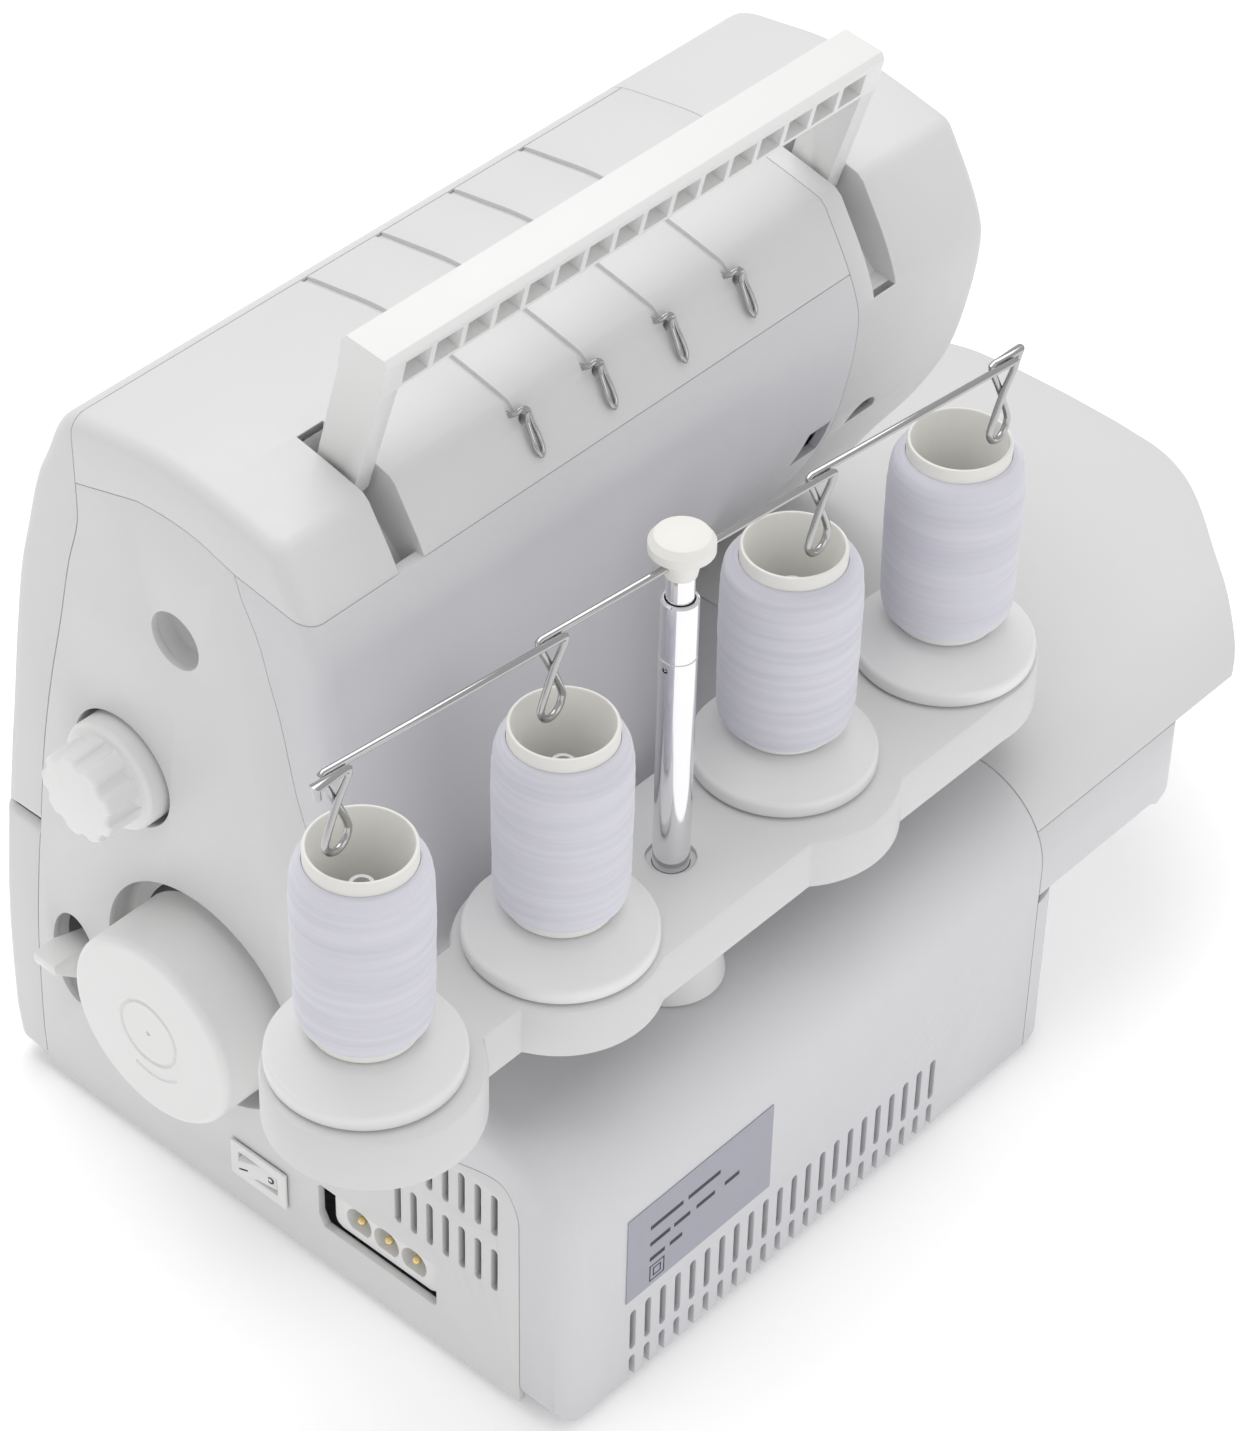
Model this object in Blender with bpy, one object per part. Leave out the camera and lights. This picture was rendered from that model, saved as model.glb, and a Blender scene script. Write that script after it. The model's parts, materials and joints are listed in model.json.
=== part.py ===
"""Serger overlock machine: covers, carrying handle, drive, thread stand with four cones, telescopic mast.

Constants and outlines are in millimetres; solid() scales every mesh to metres.
Frame: origin at the centre of the base footprint on the table, +X to the handwheel, +Y to the rear, +Z up.
"""

import math

import bmesh
import bpy
from mathutils import Vector

MM = 0.001

# Fits
GAP = 0.3
HALF_GAP = GAP / 2
RUNNING_FIT = 0.4
WALL = 2.5
OVERCUT = 30.0

# Overall sizes
BODY_RIGHT = 108.0
BODY_LEFT = -108.0
REAR_COVER_LEFT = -91.0
ARM_SPLIT = -97.5
ARM_LEFT = -154.0
COLUMN_LEFT = -14.0
ARM_BLEND = 44.0
BLEND_STEPS = 5
FOOT_HEIGHT = 3.0
BED_TOP = 100.0
REAR_FACE = 108.0
END_ROUND = 5.0
ROUND_STEPS = 3

# (y, z) outlines shared by the covers
FRONT_CURVE = ((-100, 125), (-97.5, 141), (-93, 171.5), (-89, 194), (-85.2, 208), (-79.4, 228),
               (-74.7, 238), (-69.9, 248.6), (-66.4, 252.8), (-62.4, 254.8))
TOP_CURVE = ((-51, 256.8), (-36.4, 258.7), (-22.3, 258.5), (-8.5, 256.2), (4.4, 253.4), (9.2, 252.2),
             (11.2, 250.4))
REAR_COMMON = ((20.4, 234.4), (24.7, 222.8))
COLUMN_FRONT_FOOT = (-103.5, 100.3)
ARM_FRONT_FOOT = (-101.9, 112)
COLUMN_REAR = ((25.2, 214), (27.2, 197.7), (29.6, 178.4), (32.8, 158), (37, 140), (43.4, 123.5), (58, 100.3))
ARM_REAR = ((24.8, 214), (22.4, 197.7), (17.4, 178.4), (7.2, 158), (-5.5, 139), (-18.5, 120), (-30, 112))
FRONT_SEAM = ((-94.2, 3), (-94.6, 17), (-94.2, 37), (-93, 61), (-90.2, 86), (-88.2, 100), (-84.5, 127),
              (-81.7, 143), (-77.4, 163), (-72.4, 183), (-67, 206.5), (-62.4, 222), (-62, 234.5))
TOP_SEAM = ((-45, 239.5), (-37.7, 241.4), (-20, 241.2), (-4.6, 237))
REAR_SEAM = ((-2.3, 230), (2.8, 220), (6.4, 208), (9.5, 198), (16.5, 168.6), (26, 150), (36, 128), (47, 106),
             (66, 80), (83.2, 84.3),
             (86.7, 83.2), (90.2, 78.2), (91.6, 73.5), (92.2, 3))
BASE_FRONT = ((-103, 3), (-107, 8), (-108.4, 19), (-108.4, 35), (-108, 52), (-107, 68), (-105.2, 84),
              (-103.5, 100))
TOP_PANEL_FRONT = (-62.4, 280)
TOP_PANEL_REAR = (40, 230)

# Grooves over the top and their guides
GROOVE_XS = (26.0, -1.5, -29.0, -56.5)
GROOVE_WIDTH = 2.6
GROOVE_DEPTH = 1.4
GROOVE_FRONT = -66.0

# Carrying handle
HANDLE_LEFT = -112.0
HANDLE_RIGHT = 75.0
HANDLE_PIVOT = (-4.0, 248.0)
HANDLE_BAR = ((-0.2, 284.4), (1.4, 294.2), (3.2, 296), (15.8, 294.6), (16.8, 292.6), (14.4, 282.6))
HANDLE_ARM = ((-9.6, 249), (-0.2, 284.6), (14.4, 282.8), (3.4, 246.6), (0.6, 242.8), (-5.4, 241.8),
              (-9, 244.4))
HANDLE_ARM_WIDTH = 6.0
HANDLE_POCKETS = 16
POCKET_WEB = 1.9
POCKET_OUTLINE = ((5.4, 285.2), (19, 283.1), (19.6, 290.6), (14.6, 291.2), (13.4, 288), (6.4, 288.8))
ARM_POCKET = ((-14, 262), (-13, 240), (4, 236), (17, 224), (36, 222), (36, 262))
ARM_POCKET_CLEAR = 1.6
HANDLE_PIN_RADIUS = 2.6

# Right-hand controls
WHEEL_CENTRE = (-26.5, 76.5)
WHEEL_RADIUS = 29.6
WHEEL_FACE = 127.5
WHEEL_BACK = 102.0
WHEEL_WALL = 3.0
WHEEL_CLEAR = 6.4
HUB_RADIUS = 10.5
SHAFT_RADIUS = 5.0
SHAFT_LEFT = -86.0
SHAFT_PULLEY_RADIUS = 24.0
KNOB_CENTRE = (-52.0, 144.0)
KNOB_RADIUS = 16.4
KNOB_CLEAR = 1.6
KNOB_GRIP_RADIUS = 13.4
KNOB_RIBS = 9
KNOB_RIB_DEPTH = 1.5
KNOB_FACE = 125.0
KNOB_SHOULDER = 113.5
KNOB_BACK = 96.0
LEVER_CENTRE = (-78.0, 56.0)
LEVER_HALF_WIDTH = 9.0
LEVER_HALF_HEIGHT = 17.0
LEVER_PIVOT_X = 88.0
LEVER_OUTLINE = ((84, 52), (84, 60), (101, 61), (112, 64.5), (119.6, 64), (119.6, 60.6), (110, 52.5),
                 (101, 51))
LEVER_THICK = 9.0
SIDE_HOLE_CENTRE = (-28.0, 202.0)
SIDE_HOLE_RADIUS = 8.6

# Power entry
SWITCH_Y = (-16.6, 5.0)
SWITCH_Z = (15.3, 28.7)
SWITCH_RIM = 2.0
SWITCH_PROUD = 1.3
SWITCH_DEPTH = 14.0
ROCKER_CROWN = 2.2
ROCKER_PIVOT_X = 106.0
ROCKER_ROOT_X = 99.0
SOCKET_Y = (16.8, 61.4)
SOCKET_Z = (18.0, 34.0)
INLET_Y = (20.6, 60.2)
INLET_Z = (19.0, 32.6)
INLET_FACE = 105.6
INLET_BACK = 84.0
WELL_RADIUS = 4.7
PIN_PITCH = 10.4
CONTACT_RADIUS = 1.3
CONTACT_TIP = 103.4

# Vent slots
VENT_WIDTH = 2.4
SIDE_VENT_PITCH = 5.9
SIDE_VENT_LAST_Y = 82.8
SIDE_VENT_COUNT = 7
SIDE_VENT_ROWS = ((41.3, 57.1), (62.8, 77.8))
REAR_VENT_PITCH = 6.06
REAR_VENT_FIRST_X = 80.5
REAR_VENT_COUNT = 22
REAR_VENT_ROWS = ((14.4, 29.7), (-2.0, 11.6))

# Label
LABEL_X = (25.3, 83.8)
LABEL_Z = (35.0, 67.0)
LABEL_THICK = 0.25

# Bed
BED_OUTLINE = ((-16, -100), (-108, -100), (-160, -91), (-222, -62), (-235, -52), (-241, -38), (-241, 31),
               (-236, 46), (-228, 58), (-211, 77), (-196, 94), (-187, 103), (-176, 108), (-91.3, 108),
               (-91.3, -30.3), (-16, -30.3))
BED_LIP_BOTTOM = 86.0
BED_LOWER_OUTLINE = ((-108, -60), (-160, -58), (-168, -50), (-169, -40), (-169, 84), (-165, 97), (-156, 105),
                     (-145, 108), (-91.3, 108), (-91.3, -60))
BED_LOWER_BOTTOM = 60.6
REAR_ROUND = 26.0
REAR_ROUND_STEPS = 7
PLATE_X = (-138.0, -98.0)
PLATE_Y = (-78.0, -34.0)
PLATE_THICK = 2.0
NEEDLE_SLOT = 5.0
FEED_SLOT_Y = (-48.0, -36.0)
LEFT_ROUND = 17.0
TRAY_CHAMFER = 5.0

# Thread stand
STAND_TOP = 140.0
STAND_BOTTOM = 124.6
STAND_WALL = 2.6
STAND_EDGE = 1.8
LOBE_STEPS = 14
LOBE_SPACING = 0.9
LOBES = ((137.4, 69.5, 28.6), (72.7, 72.4, 28.0), (-16.8, 75.2, 29.2), (-82.7, 70.6, 28.4))
STAND_BARS = ((72.7, 137.4, 54.0, 83.5), (-16.8, 72.7, 48.0, 97.4), (-82.7, -16.8, 47.0, 98.8))
SPOOL_PINS = ((137.7, 67.3), (72.7, 73.0), (-18.8, 69.4), (-82.7, 72.7))
PIN_RADIUS = 4.0
PIN_TOP = 200.0
MAST = (31.0, 73.7)
MAST_RADIUS = 5.0
MAST_TOP = 228.0
MAST_HOLE_Z = 207.0
PEDESTAL_RADIUS = 14.6
SLEEVE_RADIUS = 3.9
CAP_TOP = MAST_TOP + 21.0
CAP_RADIUS = 8.6
GUIDE_Z = MAST_TOP + 12.0
GUIDE_RADIUS = 1.0
GUIDE_TILT = math.radians(3.7)
HOOK_REACH = (-118.5, -49.8, 44.0, 113.8)
HOOK_HALF = 5.0
HOOK_DROP = 25.0
HOOK_CROSS = 9.0
HOOK_OFFSET = 2.6

# Cones
HOLDER_RADIUS = 25.6
HOLDER_FOOT = 140.6
HOLDER_RIM = 5.0
HOLDER_NECK = 152.5
HOLDER_HUB_TOP = 166.0
HOLDER_HUB_RADIUS = 10.5
TUBE_OUTER = 14.2
TUBE_INNER = 13.0
TUBE_BOTTOM = 153.2
TUBE_TOP = 213.0
WINDING_RADII = (17.6, 17.7, 18.6, 18.4)
WINDING_BOTTOM = 156.5
WINDING_TOP = 204.5
WINDING_SHOULDER = 4.0

# Motor and belt
MOTOR_CENTRE = (66.0, 40.0)
MOTOR_RADIUS = 27.0
MOTOR_X = (-44.0, 50.0)
PULLEY_X = (58.0, 68.0)
PULLEY_RADIUS = 9.0
BELT_THICK = 2.0
BELT_INSET = 1.5
ARBOR_RADIUS = 3.0

# Sewing head
NEEDLE_X = -118.0
NEEDLE_Y = -58.0
BAR_RADIUS = 3.2
NEEDLE_BAR_TOP = 226.0
NEEDLE_RADIUS = 0.8
NEEDLE_PITCH = 4.0
PRESSER_Y = -42.0
DIAL_RADIUS = 11.0
DIAL_Z = 186.0
DIAL_Y = -96.0
DIAL_DEPTH = 12.0
DIAL_TILT = math.radians(12.0)

SEGMENTS = 18
FINE_SEGMENTS = 36
WIRE_SEGMENTS = 6

MATERIALS = {
    "shell_white": ((0.80, 0.80, 0.815), 0.42, 0.0),
    "shell_grey_white": ((0.77, 0.77, 0.79), 0.45, 0.0),
    "control_white": ((0.83, 0.83, 0.82), 0.38, 0.0),
    "cream_plastic": ((0.82, 0.80, 0.74), 0.5, 0.0),
    "thread": ((0.82, 0.81, 0.90), 0.85, 0.0),
    "chrome": ((0.80, 0.80, 0.82), 0.1, 1.0),
    "steel": ((0.55, 0.55, 0.56), 0.3, 1.0),
    "gold": ((0.83, 0.62, 0.25), 0.25, 1.0),
    "rubber": ((0.05, 0.05, 0.05), 0.8, 0.0),
    "casting": ((0.45, 0.46, 0.48), 0.5, 0.8),
    "label_silver": ((0.66, 0.70, 0.77), 0.4, 0.2),
    "dark_plastic": ((0.09, 0.09, 0.10), 0.5, 0.0),
}


def clear_scene():
    for obj in list(bpy.data.objects):
        bpy.data.objects.remove(obj, do_unlink=True)


def material(name):
    found = bpy.data.materials.get(name)
    if found:
        return found
    colour, roughness, metallic = MATERIALS[name]
    found = bpy.data.materials.new(name)
    found.use_nodes = True
    shader = found.node_tree.nodes["Principled BSDF"]
    shader.inputs["Base Color"].default_value = (*colour, 1.0)
    shader.inputs["Roughness"].default_value = roughness
    shader.inputs["Metallic"].default_value = metallic
    return found


def solid(name, bm, finish=None, origin=(0, 0, 0)):
    """Turns a closed bmesh in millimetres into an object in metres; without a finish it is a cutter."""
    bmesh.ops.recalc_face_normals(bm, faces=bm.faces)
    centre = Vector(origin)
    for vert in bm.verts:
        vert.co = (vert.co - centre) * MM
    mesh = bpy.data.meshes.new(name)
    bm.to_mesh(mesh)
    bm.free()
    obj = bpy.data.objects.new(name, mesh)
    obj.location = centre * MM
    bpy.context.scene.collection.objects.link(obj)
    if finish:
        mesh.materials.append(material(finish))
    else:
        obj.hide_render = True
        obj.display_type = "WIRE"
    return obj


def boolean(target, operation, *cutters):
    for cutter in cutters:
        step = target.modifiers.new(f"{operation.lower()}_{cutter.name}", "BOOLEAN")
        step.operation = operation
        step.solver = "EXACT"
        step.object = cutter


def cut(target, *cutters):
    boolean(target, "DIFFERENCE", *cutters)


def keep(target, *regions):
    boolean(target, "INTERSECT", *regions)


def fuse(target, *others):
    boolean(target, "UNION", *others)


def place(axis, u, v, w):
    """Point whose coordinate along axis is w; u and v are the other two in X, Y, Z order."""
    return {"X": (w, u, v), "Y": (u, w, v), "Z": (u, v, w)}[axis]


def loft(axis, stations, triangles=False, round_low=0.0, round_high=0.0):
    """Closed solid through rings of equal point count; its two end rims can be rounded."""
    bm = bmesh.new()
    rings = [[bm.verts.new(place(axis, u, v, w)) for u, v in ring] for w, ring in stations]
    count = len(rings[0])
    for low, high in zip(rings, rings[1:]):
        for i in range(count):
            j = (i + 1) % count
            bm.faces.new((low[i], low[j], high[j], high[i]))
    caps = [bm.faces.new(rings[0]), bm.faces.new(rings[-1])]
    for cap, radius in zip(caps, (round_low, round_high)):
        if radius:
            bmesh.ops.bevel(bm, geom=list(cap.edges), offset=radius, segments=ROUND_STEPS, profile=0.5,
                            affect="EDGES", clamp_overlap=True)
    if triangles:
        bmesh.ops.triangulate(bm, faces=bm.faces)
    return bm


def prism(axis, outline, low, high, **rounding):
    return loft(axis, ((low, outline), (high, outline)), **rounding)


def box(x, y, z):
    return prism("X", ((y[0], z[0]), (y[1], z[0]), (y[1], z[1]), (y[0], z[1])), x[0], x[1])


def circle(centre, radius, count=SEGMENTS):
    step = math.tau / count
    return [(centre[0] + radius * math.cos(i * step), centre[1] + radius * math.sin(i * step))
            for i in range(count)]


def arc(centre, radius, start, end, count):
    angles = [math.radians(start + (end - start) * i / count) for i in range(count + 1)]
    return [(centre[0] + radius * math.cos(a), centre[1] + radius * math.sin(a)) for a in angles]


def cylinder(axis, centre, radius, low, high, count=SEGMENTS):
    return prism(axis, circle(centre, radius, count), low, high)


def revolve(axis, centre, profile, count=SEGMENTS):
    """Solid of revolution of a closed (radius, height) profile; a zero radius lies on the axis."""
    bm = bmesh.new()
    step = math.tau / count
    rings = []
    for radius, height in profile:
        spots = count if radius > 0 else 1
        rings.append([bm.verts.new(place(axis, centre[0] + radius * math.cos(i * step),
                                         centre[1] + radius * math.sin(i * step), height))
                      for i in range(spots)])
    for low, high in zip(rings, rings[1:] + rings[:1]):
        for i in range(count):
            corners = []
            for ring, at in ((low, i), (low, i + 1), (high, i + 1), (high, i)):
                vert = ring[at % len(ring)]
                if vert not in corners:
                    corners.append(vert)
            if len(corners) > 2:
                bm.faces.new(corners)
    return bm


def sweep(path, radius, count=WIRE_SEGMENTS):
    """Round wire along a path, its section carried without twist."""
    bm = bmesh.new()
    points = [Vector(p) for p in path]
    tangents = [(b - a).normalized() for a, b in zip(points, points[1:])]
    normal = tangents[0].orthogonal().normalized()
    rings = []
    for i, point in enumerate(points):
        before, after = tangents[max(i - 1, 0)], tangents[min(i, len(tangents) - 1)]
        along = (before + after).normalized()
        normal = (normal - along * normal.dot(along)).normalized()
        side = along.cross(normal)
        stretch = 1.0 / max(along.dot(after), 0.5)
        rings.append([bm.verts.new(point + (normal * math.cos(a) + side * math.sin(a)) * radius * (
            stretch if 0 < i < len(points) - 1 else 1.0)) for a in
            (math.tau * k / count for k in range(count))])
    for low, high in zip(rings, rings[1:]):
        for i in range(count):
            j = (i + 1) % count
            bm.faces.new((low[i], low[j], high[j], high[i]))
    bm.faces.new(rings[0])
    bm.faces.new(rings[-1])
    return bm


def inset(outline, distance):
    """Closed outline moved inwards by distance, or outwards when it is negative, point for point."""
    count = len(outline)
    area = sum(outline[i][0] * outline[(i + 1) % count][1] - outline[(i + 1) % count][0] * outline[i][1]
               for i in range(count))
    sign = 1.0 if area > 0 else -1.0
    moved = []
    for i in range(count):
        a, b, c = (Vector(outline[k % count]) for k in (i - 1, i, i + 1))
        one, two = (b - a).normalized(), (c - b).normalized()
        left_one, left_two = Vector((-one.y, one.x)) * sign, Vector((-two.y, two.x)) * sign
        middle = (left_one + left_two).normalized()
        reach = distance / max(middle.dot(left_one), 0.35)
        moved.append(tuple(b + middle * reach))
    return moved


def slot_outline(centre, width, low, high, steps=2):
    radius = width / 2
    if high - low <= width:
        return circle((centre, (low + high) / 2), radius, 2 * steps)
    return (arc((centre, high - radius), radius, 0, 180, steps)
            + arc((centre, low + radius), radius, 180, 360, steps))


# Covers ---------------------------------------------------------------------------------------

def mix(one, two, share):
    return tuple(a + (b - a) * share for a, b in zip(one, two))


def head_ring(share, shift=0.0, open_bottom=0.0):
    """Head section, from the column (share 0) to the undercut arm (share 1)."""
    foot = mix(COLUMN_FRONT_FOOT, ARM_FRONT_FOOT, share)
    rear = [mix(c, a, share) for c, a in zip(COLUMN_REAR, ARM_REAR)]
    ring = [foot, *FRONT_CURVE, *TOP_CURVE, *REAR_COMMON, *rear]
    if shift:
        ring = inset(ring, shift)
    if open_bottom:
        drop = open_bottom * (1.0 - share)
        ring[0] = (ring[0][0], ring[0][1] - drop)
        ring[-1] = (ring[-1][0], ring[-1][1] - drop)
    return ring


def head_stations(left, right, shift=0.0, open_bottom=0.0):
    blend_left = COLUMN_LEFT - ARM_BLEND
    stations = []
    if left < blend_left:
        stations.append((left, head_ring(1.0, shift, open_bottom)))
    for i in range(BLEND_STEPS + 1):
        part = i / BLEND_STEPS
        share = 1.0 - part * part * (3.0 - 2.0 * part)
        stations.append((blend_left + ARM_BLEND * part, head_ring(share, shift, open_bottom)))
    stations.append((right, head_ring(0.0, shift, open_bottom)))
    return stations


def head_shell(name, finish):
    outer = solid(name, loft("X", head_stations(ARM_LEFT, BODY_RIGHT), triangles=True,
                             round_low=END_ROUND, round_high=END_ROUND), finish)
    inner = solid(f"{name}_hollow", loft("X", head_stations(ARM_LEFT + WALL, BODY_RIGHT - WALL, WALL, 12.0),
                                         triangles=True, round_low=END_ROUND - WALL,
                                         round_high=END_ROUND - WALL))
    cut(outer, inner)
    return outer


def side_outline(shift):
    return inset([*FRONT_SEAM, *TOP_SEAM, *REAR_SEAM], shift)


def side_window(name):
    return solid(name, prism("X", side_outline(-HALF_GAP), BODY_RIGHT - WALL - 1.0, BODY_RIGHT + OVERCUT))


def arm_pocket(name, x):
    half = HANDLE_ARM_WIDTH / 2 + ARM_POCKET_CLEAR
    return solid(name, prism("X", ARM_POCKET, x - half, x + half))


def handle_arm_xs():
    half = HANDLE_ARM_WIDTH / 2
    return HANDLE_RIGHT - half, HANDLE_LEFT + half


def top_cover():
    """Lid from the front ridge to the rear edge, with thread grooves and the right handle pocket."""
    shell = head_shell("top_cover", "shell_white")
    region = [FRONT_SEAM[-1], *TOP_SEAM, TOP_PANEL_REAR, (TOP_PANEL_REAR[0], TOP_PANEL_FRONT[1]),
              TOP_PANEL_FRONT]
    keep(shell, solid("top_region", prism("X", inset(region, HALF_GAP), ARM_SPLIT + HALF_GAP,
                                          BODY_RIGHT + OVERCUT)))
    for i, x in enumerate(GROOVE_XS):
        cut(shell, groove(f"top_groove_{i + 1}", x), guide_hole(f"guide_hole_{i + 1}", x))
    cut(shell, arm_pocket("right_arm_pocket", handle_arm_xs()[0]))
    return shell


def groove(name, x):
    """Shallow channel that follows the top surface across the head."""
    line = [p for p in TOP_CURVE if p[0] > GROOVE_FRONT]
    low = [(p[0], p[1] - GROOVE_DEPTH) for p in line]
    high = [(p[0], p[1] + OVERCUT) for p in line]
    start = (GROOVE_FRONT, FRONT_CURVE[-1][1] - GROOVE_DEPTH)
    ring = [start, *low, (low[-1][0] + 4, low[-1][1]), (high[-1][0] + 4, high[-1][1]), *reversed(high),
            (start[0], high[0][1])]
    half = GROOVE_WIDTH / 2
    return solid(name, prism("X", ring, x - half, x + half))


def guide_hole(name, x):
    return solid(name, cylinder("Y", (x - GROOVE_WIDTH, 247.2), GUIDE_RADIUS + 0.3, 8, 20, 12))


def front_cover():
    """Tension panel: the front wall with four slots for the tension dials."""
    shell = head_shell("front_cover", "shell_white")
    region = [(-140, COLUMN_FRONT_FOOT[1] - 1), (-88.2, COLUMN_FRONT_FOOT[1] - 1), *FRONT_SEAM[6:],
              TOP_PANEL_FRONT,
              (-140, TOP_PANEL_FRONT[1])]
    keep(shell, solid("front_region", prism("X", inset(region, HALF_GAP), ARM_SPLIT + HALF_GAP,
                                            BODY_RIGHT + OVERCUT)))
    for i, x in enumerate(dial_xs()):
        cut(shell, solid(f"dial_slot_{i + 1}", box((x - 4.2, x + 4.2), (-120, -70),
                                                   (DIAL_Z - DIAL_RADIUS - 3, DIAL_Z + DIAL_RADIUS + 3))))
    return shell


def rear_body_cover():
    """Rear wall of head and column, blended from the undercut arm to the flared column."""
    shell = head_shell("rear_body_cover", "shell_grey_white")
    region = [(-83.5, 90), (-83.5, 125), (-30, 125), (-30, 200), TOP_SEAM[3], TOP_PANEL_REAR,
              (140, TOP_PANEL_REAR[1]), (140, 90)]
    keep(shell, solid("rear_body_region", prism("X", inset(region, HALF_GAP), ARM_SPLIT + HALF_GAP,
                                                BODY_RIGHT + OVERCUT)))
    cut(shell, side_window("rear_body_side_window"),
        solid("left_window", prism("Y", ((-84, 171.5), (-95.5, 171.5), (-95.5, 183.5), (-86.5, 183.5)), 6,
                                   40)))
    return shell


def arm_end_cover():
    """Left end cap of the head, with the left handle pocket and the half-moon hand opening."""
    shell = head_shell("arm_end_cover", "shell_white")
    cut(shell, solid("arm_end_cutoff",
                     box((ARM_SPLIT - HALF_GAP, BODY_RIGHT + OVERCUT), (-160, 160), (60, 320))),
        arm_pocket("left_arm_pocket", handle_arm_xs()[1]),
        solid("lever_window", prism("Y", [*arc((-112, 175), 6.2, 0, 180, 8)], 4, 40)),
        solid("needle_window", box((NEEDLE_X - 10, NEEDLE_X + 10), (NEEDLE_Y - 7, PRESSER_Y + 6),
                                   (104, 120))))
    return shell


def right_side_cover():
    """Flat right wall between the seams, with openings for wheel, knob, lever, switch, socket and vents."""
    low, high = BODY_RIGHT - WALL, BODY_RIGHT
    plate = solid("right_side_cover", prism("X", side_outline(HALF_GAP), low, high), "shell_white")
    reach = (low - 1, high + 1)
    ys = [SIDE_VENT_LAST_Y - SIDE_VENT_PITCH * i for i in range(SIDE_VENT_COUNT)]
    cutters = [
        solid("wheel_opening", cylinder("X", WHEEL_CENTRE, WHEEL_RADIUS + WHEEL_CLEAR, *reach,
                                        FINE_SEGMENTS)),
        solid("knob_opening", cylinder("X", KNOB_CENTRE, KNOB_RADIUS + KNOB_CLEAR, *reach)),
        solid("lever_opening", prism("X", [(LEVER_CENTRE[0] + LEVER_HALF_WIDTH * math.cos(a),
                                            LEVER_CENTRE[1] + LEVER_HALF_HEIGHT * math.sin(a))
                                           for a in (math.tau * i / 24 for i in range(24))], *reach)),
        solid("switch_opening", box(reach, (SWITCH_Y[0] + SWITCH_RIM, SWITCH_Y[1] - SWITCH_RIM),
                                    (SWITCH_Z[0] + SWITCH_RIM, SWITCH_Z[1] - SWITCH_RIM))),
        solid("socket_opening", prism("X", socket_outline(), *reach)),
    ]
    for row, (bottom, top) in enumerate(SIDE_VENT_ROWS):
        for i, y in enumerate(ys):
            if row and i > 4:
                continue
            cutters.append(solid(f"side_vent_{row + 1}_{i + 1}",
                                 prism("X", slot_outline(y, VENT_WIDTH, bottom, top),
                                                                       *reach)))
    cut(plate, *cutters, solid("side_hole_opening",
                               cylinder("X", SIDE_HOLE_CENTRE, SIDE_HOLE_RADIUS, *reach)))
    return plate


def socket_outline():
    (y0, y1), (z0, z1) = SOCKET_Y, SOCKET_Z
    return ((y0 + 2, z0), (y1 - 1, z0), (y1, z0 + 1), (y1, z1 - 1), (y1 - 1, z1), (y0 + 1, z1), (y0, z1 - 1),
            (y0, z0 + 4))


def base_ring(shift=0.0, bottom=0.0):
    rear = arc((REAR_FACE - REAR_ROUND, BED_TOP - REAR_ROUND), REAR_ROUND, 90, 0, REAR_ROUND_STEPS)
    ring = [*BASE_FRONT, *rear, (REAR_FACE, FOOT_HEIGHT)]
    if shift:
        ring = inset(ring, shift)
        ring[0] = (ring[0][0], ring[0][1] - bottom)
        ring[-1] = (ring[-1][0], ring[-1][1] - bottom)
    return ring


def base_shell(name, finish, left, rounding, open_left=True):
    outer = solid(name, prism("X", base_ring(), left, BODY_RIGHT, round_high=rounding), finish)
    inner_left = left - OVERCUT if open_left else left + WALL
    cut(outer, solid(f"{name}_hollow", prism("X", base_ring(WALL, 20.0), inner_left, BODY_RIGHT - WALL,
                                             round_high=max(rounding - WALL, 0.0))))
    return outer


def rear_cover():
    """Motor cover: top shelf, quarter-round rear edge, rear wall with two rows of vents."""
    shell = base_shell("rear_cover", "shell_grey_white", REAR_COVER_LEFT + HALF_GAP, 8.0)
    region = [(-30, 97), (-30, 120), (140, 120), (140, -20), (92.2, -20), *reversed(REAR_SEAM[8:]), (54, 97)]
    keep(shell, solid("rear_region", prism("X", inset(region, HALF_GAP), -200, BODY_RIGHT + OVERCUT)))
    cutters = [side_window("rear_cover_side_window")]
    for row, (bottom, top) in enumerate(REAR_VENT_ROWS):
        for i in range(REAR_VENT_COUNT):
            x = REAR_VENT_FIRST_X - REAR_VENT_PITCH * i
            cutters.append(solid(f"rear_vent_{row + 1}_{i + 1}",
                                 prism("Y", slot_outline(x, VENT_WIDTH, bottom, top),
                                                                       REAR_FACE - WALL - 1, REAR_FACE + 1)))
    cutters.append(solid("shelf_opening", box((COLUMN_LEFT, BODY_RIGHT + 1), (-31, 40), (95, 102))))
    cut(shell, *cutters)
    return shell


def looper_door():
    """Front door over the loopers: slides to the right, then drops forward."""
    shell = base_shell("looper_door", "shell_white", BODY_LEFT + HALF_GAP, 4.0)
    region = [(-140, 8), (-94.3, 8), *FRONT_SEAM[1:5], (-88.2, BED_TOP), (-140, BED_TOP)]
    keep(shell, solid("door_region", prism("X", inset(region, HALF_GAP), -200, BODY_RIGHT + OVERCUT)))
    cut(shell, solid("door_top_opening",
                     box((-200, BODY_RIGHT - WALL), (-101, -80), (BED_TOP - WALL - 1, 110))))
    return shell


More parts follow.
